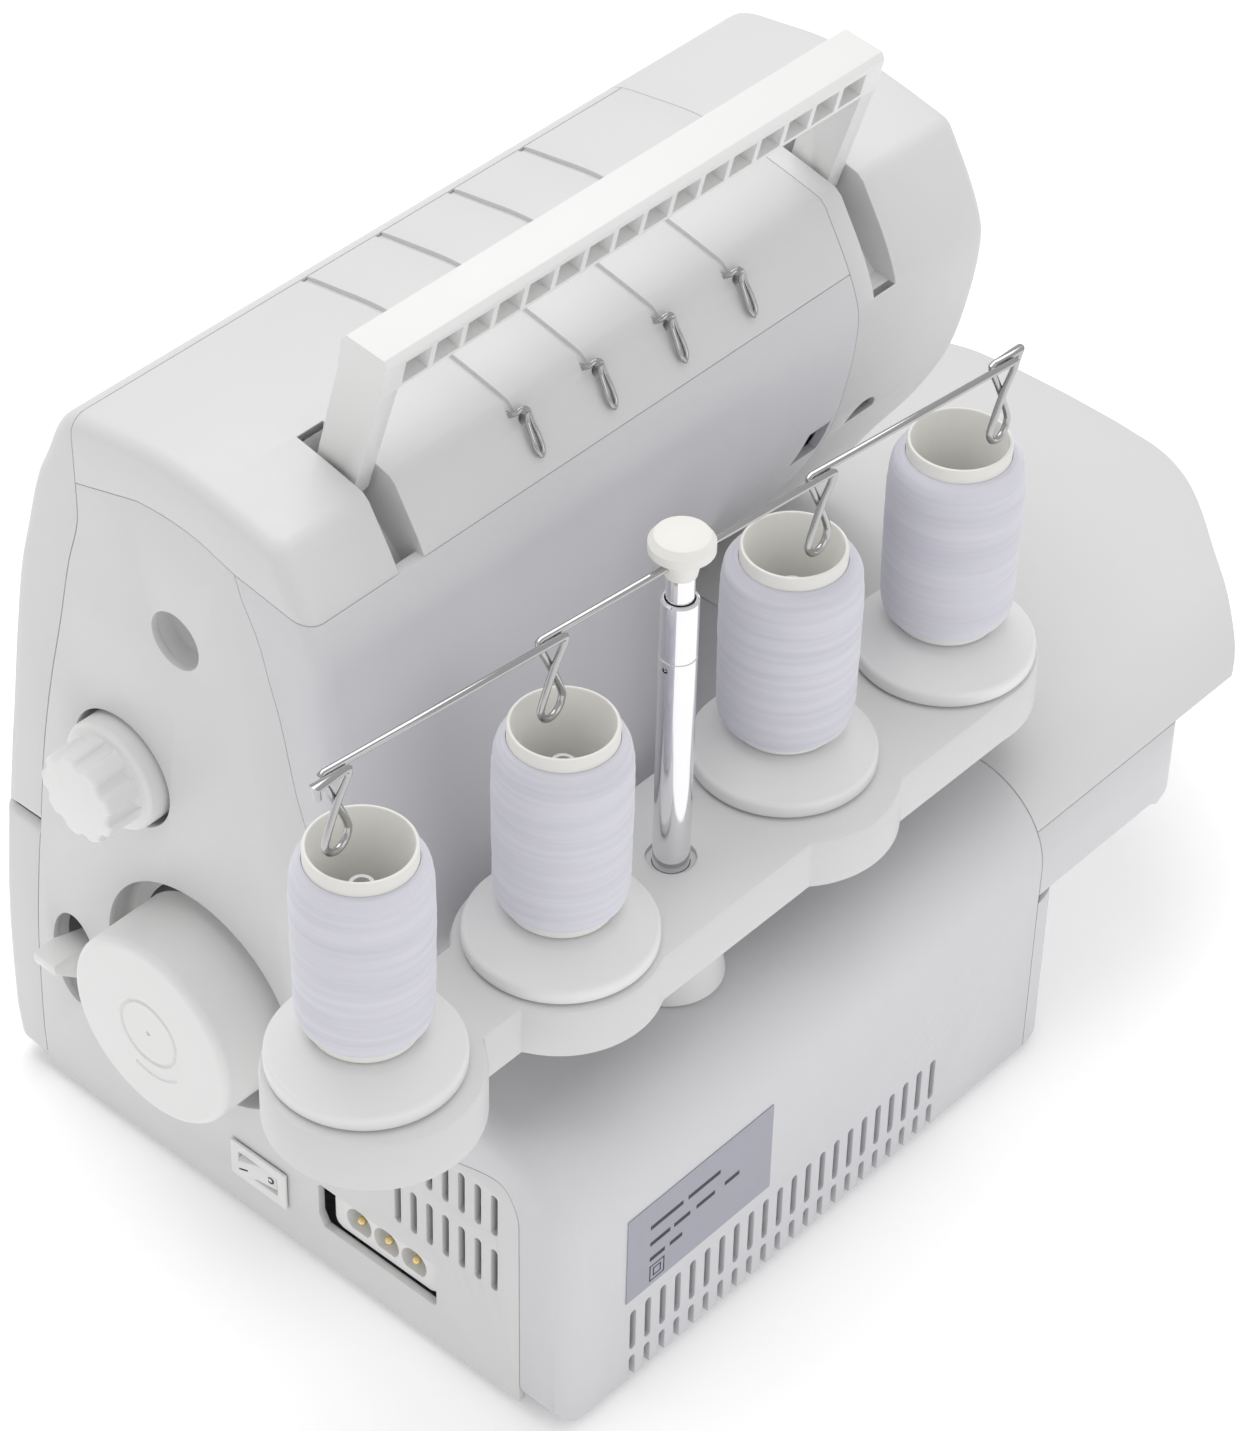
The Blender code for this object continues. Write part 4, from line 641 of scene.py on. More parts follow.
def sweep(path, radius, count=WIRE_SEGMENTS):
    """Round wire along a path, its section carried without twist."""
    bm = bmesh.new()
    points = [Vector(p) for p in path]
    tangents = [(b - a).normalized() for a, b in zip(points, points[1:])]
    normal = tangents[0].orthogonal().normalized()
    rings = []
    for i, point in enumerate(points):
        before, after = tangents[max(i - 1, 0)], tangents[min(i, len(tangents) - 1)]
        along = (before + after).normalized()
        normal = (normal - along * normal.dot(along)).normalized()
        side = along.cross(normal)
        stretch = 1.0 / max(along.dot(after), 0.5)
        rings.append([bm.verts.new(point + (normal * math.cos(a) + side * math.sin(a)) * radius * (
            stretch if 0 < i < len(points) - 1 else 1.0)) for a in
            (math.tau * k / count for k in range(count))])
    for low, high in zip(rings, rings[1:]):
        for i in range(count):
            j = (i + 1) % count
            bm.faces.new((low[i], low[j], high[j], high[i]))
    bm.faces.new(rings[0])
    bm.faces.new(rings[-1])
    return bm


def inset(outline, distance):
    """Closed outline moved inwards by distance, or outwards when it is negative, point for point."""
    count = len(outline)
    area = sum(outline[i][0] * outline[(i + 1) % count][1] - outline[(i + 1) % count][0] * outline[i][1]
               for i in range(count))
    sign = 1.0 if area > 0 else -1.0
    moved = []
    for i in range(count):
        a, b, c = (Vector(outline[k % count]) for k in (i - 1, i, i + 1))
        one, two = (b - a).normalized(), (c - b).normalized()
        left_one, left_two = Vector((-one.y, one.x)) * sign, Vector((-two.y, two.x)) * sign
        middle = (left_one + left_two).normalized()
        reach = distance / max(middle.dot(left_one), 0.35)
        moved.append(tuple(b + middle * reach))
    return moved


def slot_outline(centre, width, low, high, steps=8):
    radius = width / 2
    if high - low <= width:
        return circle((centre, (low + high) / 2), radius, 2 * steps)
    return (arc((centre, high - radius), radius, 0, 180, steps)
            + arc((centre, low + radius), radius, 180, 360, steps))


# Covers ---------------------------------------------------------------------------------------

def mix(one, two, share):
    return tuple(a + (b - a) * share for a, b in zip(one, two))


def side_outline(shift):
    return inset([*FRONT_SEAM, *TOP_SEAM, *REAR_SEAM], shift)


def side_window(name):
    return solid(name, prism("X", side_outline(-HALF_GAP), BODY_RIGHT - WALL - 1.0, BODY_RIGHT + OVERCUT))


def panel(name, region, left):
    """What one cover keeps of a whole shell: its (y, z) region less half the gap to its neighbours."""
    return solid(name, prism("X", inset(region, HALF_GAP), left, BODY_RIGHT + OVERCUT))


def arm_pocket(name, x):
    half = HANDLE_ARM_WIDTH / 2 + ARM_POCKET_CLEAR
    return solid(name, prism("X", ARM_POCKET, x - half, x + half))


def handle_arm_xs():
    half = HANDLE_ARM_WIDTH / 2
    return HANDLE_RIGHT - half, HANDLE_LEFT + half


def top_cover():
    """Lid from the front ridge to the rear edge, with thread grooves and the right handle pocket."""
    shell = head_shell("top_cover", "shell_white")
    region = [FRONT_SEAM[-1], *TOP_SEAM, TOP_PANEL_REAR, (TOP_PANEL_REAR[0], TOP_PANEL_FRONT[1]),
              TOP_PANEL_FRONT]
    keep(shell, panel("top_region", region, ARM_SPLIT + HALF_GAP))
    for i, x in enumerate(GROOVE_XS):
        cut(shell, groove(f"top_groove_{i + 1}", x), guide_hole(f"guide_hole_{i + 1}", x))
    cut(shell, arm_pocket("right_arm_pocket", handle_arm_xs()[0]))
    return shell


def groove(name, x):
    """Shallow channel that follows the top surface across the head."""
    line = [p for p in spline(TOP_CURVE, SEAM_STEPS) if p[0] > GROOVE_FRONT]
    low = [(p[0], p[1] - GROOVE_DEPTH) for p in line]
    high = [(p[0], p[1] + OVERCUT) for p in line]
    start = (GROOVE_FRONT, FRONT_CURVE[-1][1] - GROOVE_DEPTH)
    ring = [start, *low, (low[-1][0] + 4, low[-1][1]), (high[-1][0] + 4, high[-1][1]), *reversed(high),
            (start[0], high[0][1])]
    half = GROOVE_WIDTH / 2
    return solid(name, prism("X", ring, x - half, x + half))


def guide_hole(name, x):
    return solid(name, cylinder("Y", (x - GROOVE_WIDTH, 247.2), GUIDE_RADIUS + 0.3, 8, 20, 12))


def front_cover():
    """Tension panel: the front wall with four slots for the tension dials."""
    shell = head_shell("front_cover", "shell_white")
    region = [(-140, COLUMN_FRONT_FOOT[1] - 1), (-88.2, COLUMN_FRONT_FOOT[1] - 1),
              *FRONT_SEAM[6 * SEAM_STEPS:], TOP_PANEL_FRONT,
              (-140, TOP_PANEL_FRONT[1])]
    keep(shell, panel("front_region", region, ARM_SPLIT + HALF_GAP))
    for i, x in enumerate(dial_xs()):
        cut(shell, solid(f"dial_slot_{i + 1}", box((x - 4.2, x + 4.2), (-120, -70),
                                                   (DIAL_Z - DIAL_RADIUS - 3, DIAL_Z + DIAL_RADIUS + 3))))
    return shell


def rear_body_cover():
    """Rear wall of head and column, blended from the undercut arm to the flared column."""
    shell = head_shell("rear_body_cover", "shell_grey_white")
    region = [(-83.5, 90), (-83.5, 125), (-30, 125), (-30, 200), TOP_SEAM[-1], TOP_PANEL_REAR,
              (140, TOP_PANEL_REAR[1]), (140, 90)]
    keep(shell, panel("rear_body_region", region, ARM_SPLIT + HALF_GAP))
    cut(shell, side_window("rear_body_side_window"),
        solid("left_window", prism("Y", ((-84, 171.5), (-95.5, 171.5), (-95.5, 183.5), (-86.5, 183.5)), 6,
                                   40)))
    return shell


def arm_end_cover():
    """Left end cap of the head, with the left handle pocket and the half-moon hand opening."""
    shell = head_shell("arm_end_cover", "shell_white")
    cut(shell, solid("arm_end_cutoff",
                     box((ARM_SPLIT - HALF_GAP, BODY_RIGHT + OVERCUT), (-160, 160), (60, 320))),
        arm_pocket("left_arm_pocket", handle_arm_xs()[1]),
        solid("lever_window", prism("Y", arc((-112, 175), 6.2, 0, 180, 28), 4, 40)),
        solid("needle_window", box((NEEDLE_X - 10, NEEDLE_X + 10), (NEEDLE_Y - 7, PRESSER_Y + 6),
                                   (104, 120))))
    return shell


def socket_outline():
    (y0, y1), (z0, z1) = SOCKET_Y, SOCKET_Z
    return ((y0 + 2, z0), (y1 - 1, z0), (y1, z0 + 1), (y1, z1 - 1), (y1 - 1, z1), (y0 + 1, z1), (y0, z1 - 1),
            (y0, z0 + 4))


def base_ring(shift=0.0, bottom=0.0):
    ring = [*BASE_FRONT, *rear_round(), (REAR_FACE, FOOT_HEIGHT)]
    if shift:
        ring = inset(ring, shift)
        ring[0] = (ring[0][0], ring[0][1] - bottom)
        ring[-1] = (ring[-1][0], ring[-1][1] - bottom)
    return ring


def looper_door():
    """Front door over the loopers, hinged at its lower edge."""
    shell = base_shell("looper_door", "shell_white", BODY_LEFT + HALF_GAP, 4.0)
    region = [(-140, 8), (-94.3, 8), *FRONT_SEAM[SEAM_STEPS:4 * SEAM_STEPS + 1], (-88.2, BED_TOP),
              (-140, BED_TOP)]
    keep(shell, panel("door_region", region, -200))
    cut(shell, solid("door_top_opening",
                     box((-200, BODY_RIGHT - WALL), (-101, -80), (BED_TOP - WALL - 1, 110))))
    return shell


def left_base_cover():
    """Left end wall of the base with its rounded rear corner."""
    centre = (BODY_LEFT + LEFT_ROUND, REAR_FACE - LEFT_ROUND)
    outer = [(REAR_COVER_LEFT - HALF_GAP, REAR_FACE), *arc(centre, LEFT_ROUND, 90, 180, 18),
             (BODY_LEFT, -93)]
    inner = [(BODY_LEFT + WALL, -93), *arc(centre, LEFT_ROUND - WALL, 180, 90, 18),
             (REAR_COVER_LEFT - HALF_GAP, REAR_FACE - WALL)]
    return solid("left_base_cover", prism("Z", outer + inner, FOOT_HEIGHT, BED_LOWER_BOTTOM - GAP),
                 "shell_grey_white")


def rear_round(shift=0.0):
    """Quarter round of the rear upper edge, from the top down, moved inwards by shift."""
    return arc((REAR_FACE - REAR_ROUND, BED_TOP - REAR_ROUND), REAR_ROUND - shift, 90, 0, REAR_ROUND_STEPS)


def round_region(name, shift=0.0, top=BED_TOP):
    """Everything inside the quarter-round rear edge, to the left of the column."""
    ring = [(-130, 40), (-130, top), *rear_round(shift), (REAR_FACE - shift, 40)]
    return solid(name, prism("X", ring, -280, 20))


def bed_cover():
    """Cloth plate: wide top that overhangs to the left, open below, with a seat for the needle plate."""
    plate = solid("bed_cover", prism("Z", BED_OUTLINE, BED_LIP_BOTTOM, BED_TOP), "shell_white")
    keep(plate, round_region("bed_round"))
    hollow = solid("bed_hollow", prism("Z", inset(BED_OUTLINE, WALL), BED_LIP_BOTTOM - 10, BED_TOP - WALL))
    keep(hollow, round_region("bed_hollow_round", WALL, BED_TOP - WALL))
    cut(plate, hollow, solid("plate_seat", box((PLATE_X[0] - GAP, PLATE_X[1] + GAP),
                                               (PLATE_Y[0] - GAP, PLATE_Y[1] + GAP), (90, 110))))
    return plate


def bed_lower_cover():
    """Inset tray under the cloth plate."""
    bottom, top = BED_LOWER_BOTTOM, BED_LIP_BOTTOM - GAP
    tray = solid("bed_lower_cover", prism("Z", BED_LOWER_OUTLINE, bottom, top, round_low=4.0),
                 "shell_grey_white")
    keep(tray, round_region("lower_round"))
    hollow = solid("lower_hollow", prism("Z", inset(BED_LOWER_OUTLINE, WALL), bottom + WALL, top + 10))
    keep(hollow, round_region("lower_hollow_round", WALL))
    cut(tray, hollow)
    return tray


# Controls and power entry ---------------------------------------------------------------------

def stitch_length_knob():
    """Plain drum with a ribbed grip in front."""
    ribs = 16 * KNOB_RIBS

    def lobed(radius, depth):
        points = []
        for i in range(ribs):
            angle = math.tau * i / ribs
            wave = max(0.0, math.cos(KNOB_RIBS * angle)) ** 0.5
            points.append((KNOB_CENTRE[0] + (radius - depth * wave) * math.cos(angle),
                           KNOB_CENTRE[1] + (radius - depth * wave) * math.sin(angle)))
        return points
    stations = ((KNOB_BACK, lobed(KNOB_RADIUS, 0)), (KNOB_SHOULDER - 1, lobed(KNOB_RADIUS, 0)),
                (KNOB_SHOULDER, lobed(KNOB_RADIUS - 1, 0)),
                (KNOB_SHOULDER + 0.1, lobed(KNOB_GRIP_RADIUS, 0)),
                (KNOB_SHOULDER + 1.4, lobed(KNOB_GRIP_RADIUS, KNOB_RIB_DEPTH)),
                (KNOB_FACE - 0.8, lobed(KNOB_GRIP_RADIUS, KNOB_RIB_DEPTH)),
                (KNOB_FACE, lobed(KNOB_GRIP_RADIUS - 0.8, KNOB_RIB_DEPTH)))
    return solid("stitch_length_knob", loft("X", stations), "control_white")


def differential_lever():
    half = LEVER_THICK / 2
    y = LEVER_CENTRE[0]
    return solid("differential_lever", prism("Y", LEVER_OUTLINE, y - half, y + half), "control_white")


def switch_frame():
    (y0, y1), (z0, z1) = SWITCH_Y, SWITCH_Z
    rim = SWITCH_RIM + GAP
    flange = solid("switch_frame", box((BODY_RIGHT + GAP, BODY_RIGHT + SWITCH_PROUD), SWITCH_Y, SWITCH_Z),
                   "control_white")
    fuse(flange, solid("switch_barrel", box((BODY_RIGHT - SWITCH_DEPTH, BODY_RIGHT + SWITCH_PROUD / 2),
                                            (y0 + rim, y1 - rim), (z0 + rim, z1 - rim))))
    cut(flange, solid("switch_well", box((BODY_RIGHT - SWITCH_DEPTH + 2, BODY_RIGHT + 10),
                                         (y0 + rim + 1, y1 - rim - 1), (z0 + rim + 1, z1 - rim - 1))))
    return flange


def power_rocker():
    """Rocker with a concave face, tipped to one side."""
    (y0, y1), (z0, z1) = SWITCH_Y, SWITCH_Z
    rim = SWITCH_RIM + GAP + 1 + RUNNING_FIT
    middle, half = (y0 + y1) / 2, (y1 - y0) / 2 - rim - 0.5
    face = BODY_RIGHT + SWITCH_PROUD
    outline = ((ROCKER_ROOT_X, middle - 2), (face - 1.0, middle - half),
               (face + ROCKER_CROWN, middle - half + 0.6),
               (face + 0.9, middle - half * 0.4), (face - 0.2, middle), (face - 0.6, middle + half * 0.5),
               (face - 1.0, middle + half), (ROCKER_ROOT_X + 3, middle + half * 0.5),
               (ROCKER_ROOT_X, middle + 2))
    return solid("power_rocker", prism("Z", outline, z0 + rim, z1 - rim), "control_white")


def contact_ys():
    middle = (INLET_Y[0] + INLET_Y[1]) / 2
    return middle - PIN_PITCH, middle, middle + PIN_PITCH


def power_inlet():
    """Appliance inlet with three D-shaped wells."""
    (y0, y1), (z0, z1) = INLET_Y, INLET_Z
    outline = ((y0 + 3, z0), (y1 - 3, z0), (y1 - 0.8, z0 + 1), (y1, z0 + 3), (y1, z1 - 3),
               (y1 - 0.8, z1 - 1),
               (y1 - 3, z1), (y0 + 3, z1), (y0 + 0.8, z1 - 1), (y0, z1 - 3), (y0, z0 + 3),
               (y0 + 0.8, z0 + 1))
    block = solid("power_inlet", prism("X", outline, INLET_BACK, INLET_FACE, round_high=0.8),
                  "control_white")
    height = (z0 + z1) / 2
    for i, y in enumerate(contact_ys()):
        well = arc((y, height), WELL_RADIUS, -50, 230, 40)
        cut(block, solid(f"well_{i + 1}", prism("X", well, INLET_BACK + 6, INLET_FACE + 2)),
            solid(f"contact_bore_{i + 1}", cylinder("X", (y, height), CONTACT_RADIUS + GAP, INLET_BACK - 2,
                                                    INLET_FACE, 12)))
    return block


# Thread stand ---------------------------------------------------------------------------------

def stand_outline(shrink=0.0):
    """Union of the lobes and of the bars between them, traced as a front and a rear edge."""
    low_end = min(x - radius for x, _, radius in LOBES)
    high_end = max(x + radius for x, _, radius in LOBES)
    middle, half = (low_end + high_end) / 2, (high_end - low_end) / 2
    xs = {x + radius * math.cos(math.pi * i / LOBE_STEPS) for x, _,
          radius in LOBES for i in range(LOBE_STEPS + 1)}
    spots = [low_end]
    for x in sorted(xs):
        if x - spots[-1] > LOBE_SPACING:
            spots.append(x)
    spots[-1] = high_end
    front, rear = [], []
    for spot in spots:
        x = middle + (spot - middle) * (half - shrink) / half
        edges = [(low + shrink, high - shrink) for x0, x1, low, high in STAND_BARS if x0 <= x <= x1]
        for cx, y, radius in LOBES:
            if abs(x - cx) <= radius - shrink + GAP * MM:
                span = math.sqrt(max((radius - shrink) ** 2 - (x - cx) ** 2, 0.0))
                edges.append((y - span, y + span))
        front.append((x, min(edge[0] for edge in edges)))
        rear.append((x, max(edge[1] for edge in edges)))
    return front[:-1] + list(reversed(rear[1:]))


def spool_stand():
    """Hollow tray with four spool pins, a mast boss and a pedestal that sits on the rear cover."""
    rings = ((STAND_BOTTOM, 0.0), (STAND_TOP - STAND_EDGE, 0.0),
             (STAND_TOP - 0.3 * STAND_EDGE, 0.3 * STAND_EDGE),
             (STAND_TOP, STAND_EDGE))
    stand = solid("spool_stand", loft("Z", [(z, stand_outline(shrink)) for z, shrink in rings]),
                  "shell_white")
    hollow = solid("stand_hollow",
                   prism("Z", stand_outline(STAND_WALL), STAND_BOTTOM - 10, STAND_TOP - STAND_WALL))
    cut(stand, hollow)
    fuse(stand, solid("pedestal", revolve("Z", MAST, (
        (0, BED_TOP + GAP), (PEDESTAL_RADIUS + 1, BED_TOP + GAP), (PEDESTAL_RADIUS, BED_TOP + 6),
        (PEDESTAL_RADIUS, STAND_TOP - 1), (0, STAND_TOP - 1)), SEGMENTS)))
    for i, spot in enumerate(SPOOL_PINS):
        fuse(stand, solid(f"spool_pin_{i + 1}", revolve("Z", spot, (
            (0, STAND_TOP - 2), (PIN_RADIUS + 0.6, STAND_TOP - 2), (PIN_RADIUS, PIN_TOP - 2),
            (PIN_RADIUS - 0.8, PIN_TOP),
            (PIN_RADIUS - 1.8, PIN_TOP), (PIN_RADIUS - 1.8, PIN_TOP - 12), (0, PIN_TOP - 12)), 48)))
    cut(stand, solid("mast_bore", cylinder("Z", MAST, MAST_RADIUS + HALF_GAP, BED_TOP + 10, STAND_TOP + 10)),
        solid("mast_countersink", cylinder("Z", MAST, MAST_RADIUS + 1.9, STAND_TOP - 1.4, STAND_TOP + 10)))
    return stand


def mast_tube():
    profile = ((SLEEVE_RADIUS + HALF_GAP, BED_TOP + 10 + GAP), (MAST_RADIUS, BED_TOP + 10 + GAP),
               (MAST_RADIUS, 209.4),
               (MAST_RADIUS - 0.25, 209.6), (MAST_RADIUS - 0.25, 210.2), (MAST_RADIUS, 210.4),
               (MAST_RADIUS, MAST_TOP - 0.5),
               (MAST_RADIUS - 0.5, MAST_TOP), (SLEEVE_RADIUS + HALF_GAP, MAST_TOP))
    tube = solid("mast_tube", revolve("Z", MAST, profile, SEGMENTS), "chrome")
    cut(tube, solid("mast_hole", cylinder("X", (MAST[1], MAST_HOLE_Z), 0.9, MAST[0], MAST[0] + 10, 12)))
    return tube


def mast_cap():
    profile = ((0, MAST_TOP + 7.7), (4.2, MAST_TOP + 7.7), (4.6, MAST_TOP + 10), (5.6, MAST_TOP + 13),
               (CAP_RADIUS, MAST_TOP + 15.4),
               (CAP_RADIUS, MAST_TOP + 18), (CAP_RADIUS - 1.4, CAP_TOP - 1), (CAP_RADIUS - 4, CAP_TOP),
               (0, CAP_TOP))
    cap = solid("mast_cap", revolve("Z", MAST, profile, SEGMENTS), "cream_plastic")
    lane = -HOOK_OFFSET / 2
    bore = sweep([guide_point(-20, 0, lane), guide_point(20, 0, lane)], GUIDE_RADIUS + 0.25, 12)
    cut(cap, solid("guide_bore", bore))
    return cap


def guide_point(along, drop, across):
    """Point in the guide bar's own frame, turned about the mast by the bar's tilt."""
    direction = Vector((math.cos(GUIDE_TILT), -math.sin(GUIDE_TILT), 0))
    normal = Vector((math.sin(GUIDE_TILT), math.cos(GUIDE_TILT), 0))
    return Vector((*MAST, GUIDE_Z - drop)) + direction * along + normal * across


def dial_xs():
    return [x + 40.0 for x in GROOVE_XS]


# Pieces with more detail than the CAD ------------------------------------------------------------

def head_ring(share, shift=0.0, open_bottom=0.0):
    """Smooth head section, from the column (share 0) to the undercut arm (share 1)."""
    foot = mix(COLUMN_FRONT_FOOT, ARM_FRONT_FOOT, share)
    rear = [mix(c, a, share) for c, a in zip(COLUMN_REAR, ARM_REAR)]
    ring = inset([foot, *FRONT_CURVE, *TOP_CURVE, *REAR_COMMON, *rear], shift)
    drop = open_bottom * (1.0 - share)
    ring[0] = (ring[0][0], ring[0][1] - drop)
    ring[-1] = (ring[-1][0], ring[-1][1] - drop)
    ridge = len(FRONT_CURVE) + len(TOP_CURVE)
    return spline(ring[:ridge], SEAM_STEPS) + spline(ring[ridge:], SEAM_STEPS)


def rounded_ends(low, high, ring, middle, radius_low, radius_high):
    """Stations of a loft whose two ends are rounded; ring(x, shift) gives one section."""
    turn = [math.pi / 2 * i / ROUND_STEPS for i in range(ROUND_STEPS + 1)]
    stations = []
    if radius_low:
        stations += [(low + radius_low * (1 - math.cos(a)), radius_low * (1 - math.sin(a))) for a in turn]
    else:
        stations.append((low, 0.0))
    stations += [(x, 0.0) for x in middle]
    if radius_high:
        stations += [(high - radius_high * (1 - math.cos(a)), radius_high * (1 - math.sin(a)))
                     for a in reversed(turn)]
    else:
        stations.append((high, 0.0))
    return [(x, ring(x, shift)) for x, shift in stations]


def head_shell(name, finish):
    blend_left = COLUMN_LEFT - ARM_BLEND
    middle = [blend_left + ARM_BLEND * i / BLEND_STEPS for i in range(BLEND_STEPS + 1)]

    def section(shift, open_bottom):
        def ring(x, more):
            part = min(max((x - blend_left) / ARM_BLEND, 0.0), 1.0)
            return head_ring(1.0 - part * part * (3.0 - 2.0 * part), shift + more, open_bottom)
        return ring
    outer = solid(name, loft("X", rounded_ends(ARM_LEFT, BODY_RIGHT, section(0.0, 0.0), middle, END_ROUND,
                                               END_ROUND)), finish)
    inner = solid(f"{name}_hollow", loft("X", rounded_ends(
        ARM_LEFT + WALL, BODY_RIGHT - WALL, section(WALL, 12.0), middle, END_ROUND - WALL,
        END_ROUND - WALL)))
    cut(outer, inner)
    return outer


def base_shell(name, finish, left, rounding, open_left=True):
    outer = solid(name, loft("X", rounded_ends(left, BODY_RIGHT, lambda x, more: base_ring(more), (), 0.0,
                                               rounding)), finish)
    inner_left = left - OVERCUT if open_left else left + WALL
    cut(outer, solid(f"{name}_hollow", loft("X", rounded_ends(
        inner_left, BODY_RIGHT - WALL, lambda x, more: base_ring(WALL + more, 20.0), (), 0.0,
        max(rounding - WALL, 0.0)))))
    return outer


def joined(name, cutters):
    """One object made of separate cutters that don't touch."""
    bm = bmesh.new()
    for cutter in cutters:
        bm.from_mesh(cutter.data)
        bpy.data.objects.remove(cutter)
    mesh = bpy.data.meshes.new(name)
    bm.to_mesh(mesh)
    bm.free()
    obj = bpy.data.objects.new(name, mesh)
    bpy.context.scene.collection.objects.link(obj)
    return obj


def right_side_cover():
    """Flat right wall with its openings, and rounded wells behind wheel, knob, lever and side hole."""
    low, high = BODY_RIGHT - WALL, BODY_RIGHT
    plate = solid("right_side_cover", prism("X", side_outline(HALF_GAP), low, high), "shell_white")
    reach = (low - 1, high + 1)
    ys = [SIDE_VENT_LAST_Y - SIDE_VENT_PITCH * i for i in range(SIDE_VENT_COUNT)]
    cutters = [
        solid("wheel_opening", cylinder("X", WHEEL_CENTRE, WHEEL_RADIUS + WHEEL_CLEAR, *reach,
                                        FINE_SEGMENTS)),
        solid("knob_opening", cylinder("X", KNOB_CENTRE, KNOB_RADIUS + KNOB_CLEAR, *reach, FINE_SEGMENTS)),
        solid("lever_opening", prism("X", lever_oval(0.0), *reach)),
        solid("switch_opening", box(reach, (SWITCH_Y[0] + SWITCH_RIM, SWITCH_Y[1] - SWITCH_RIM),
                                    (SWITCH_Z[0] + SWITCH_RIM, SWITCH_Z[1] - SWITCH_RIM))),
        solid("socket_opening", prism("X", socket_outline(), *reach)),
        solid("side_hole_opening", cylinder("X", SIDE_HOLE_CENTRE, SIDE_HOLE_RADIUS, *reach, FINE_SEGMENTS)),
    ]
    for row, (bottom, top) in enumerate(SIDE_VENT_ROWS):
        for i, y in enumerate(ys):
            if not (row and i > 4):
                cutters.append(solid(f"side_vent_{row + 1}_{i + 1}",
                                     prism("X", slot_outline(y, VENT_WIDTH, bottom, top), *reach)))
    cut(plate, joined("side_openings", cutters))
    well("knob_well", KNOB_CENTRE, KNOB_RADIUS + KNOB_CLEAR, KNOB_RADIUS + 0.5, KNOB_WELL_DEPTH)
    well("side_hole_well", SIDE_HOLE_CENTRE, SIDE_HOLE_RADIUS, 0.0, SIDE_HOLE_DEPTH)
    well("wheel_well", WHEEL_CENTRE, WHEEL_RADIUS + WHEEL_CLEAR, WHEEL_RADIUS + 1.2, WHEEL_WELL_DEPTH)
    lever_bowl()
    return plate


def lever_oval(shrink):
    return [(LEVER_CENTRE[0] + (LEVER_HALF_WIDTH - shrink) * math.cos(a),
             LEVER_CENTRE[1] + (LEVER_HALF_HEIGHT - shrink) * math.sin(a))
            for a in (math.tau * i / 96 for i in range(96))]


def well(name, centre, radius, hole, depth):
    """Dished cup behind a round opening; a zero hole closes its floor."""
    top = BODY_RIGHT - WALL
    floor, back, outside = top - depth, top - depth - WELL_WALL, radius + WELL_WALL
    inside = [(radius + WELL_CLEAR, top - 0.02)]
    for i in range(WELL_STEPS + 1):
        angle = math.pi / 2 * i / WELL_STEPS
        inside.append((radius + WELL_CLEAR - WELL_ROUND * (1 - math.cos(angle)),
                       floor + WELL_ROUND - WELL_ROUND * math.sin(angle)))
    profile = [(outside, top - 0.02), *inside, (hole, floor)]
    profile += [(hole, back), (outside, back)]
    return part_of("right_side_cover",
                   solid(name, revolve("X", centre, profile, FINE_SEGMENTS), "shell_white"))


def lever_bowl():
    """Scooped oval bowl behind the differential-feed lever, slotted for it."""
    top = BODY_RIGHT - WALL - 0.02
    turns = [math.pi / 2 * i / WELL_STEPS for i in range(WELL_STEPS + 1)]
    scoop = [(top - BOWL_DEPTH * math.sin(a), lever_oval(-WELL_CLEAR + BOWL_CLOSE * (1 - math.cos(a))))
             for a in turns]
    bowl = solid("lever_bowl", loft("X", [(top, lever_oval(-1.3)), (top - 11.0, lever_oval(4.0))]),
                 "shell_white")
    y, z = LEVER_CENTRE
    half = LEVER_THICK / 2 + 0.6
    cut(bowl, solid("bowl_inside", loft("X", [(top + 1.0, lever_oval(-WELL_CLEAR)), *scoop])),
        solid("bowl_slot", box((top - 20, top + 2), (y - half, y + half), (z - 9, z + 10))))
    return part_of("right_side_cover", bowl)


def rear_cover():
    """Motor cover with two rows of vents, and its grooved left seam."""
    shell = base_shell("rear_cover", "shell_grey_white", REAR_COVER_LEFT + HALF_GAP, 8.0)
    region = [(-30, 97), (-30, 120), (140, 120), (140, -20), (92.2, -20),
              *reversed(REAR_SEAM[8 * SEAM_STEPS:]),
              (54, 97)]
    keep(shell, panel("rear_region", region, -200))
    vents = []
    for row, (bottom, top) in enumerate(REAR_VENT_ROWS):
        for i in range(REAR_VENT_COUNT):
            x = REAR_VENT_FIRST_X - REAR_VENT_PITCH * i
            vents.append(solid(f"rear_vent_{row + 1}_{i + 1}",
                               prism("Y", slot_outline(x, VENT_WIDTH, max(bottom, -9.0), top),
                                     REAR_FACE - WALL - 1, REAR_FACE + 1)))
    cut(shell, side_window("rear_cover_side_window"), joined("rear_vents", vents),
        solid("shelf_opening", box((COLUMN_LEFT, BODY_RIGHT + 1), (-31, 40), (95, 102))))
    return shell


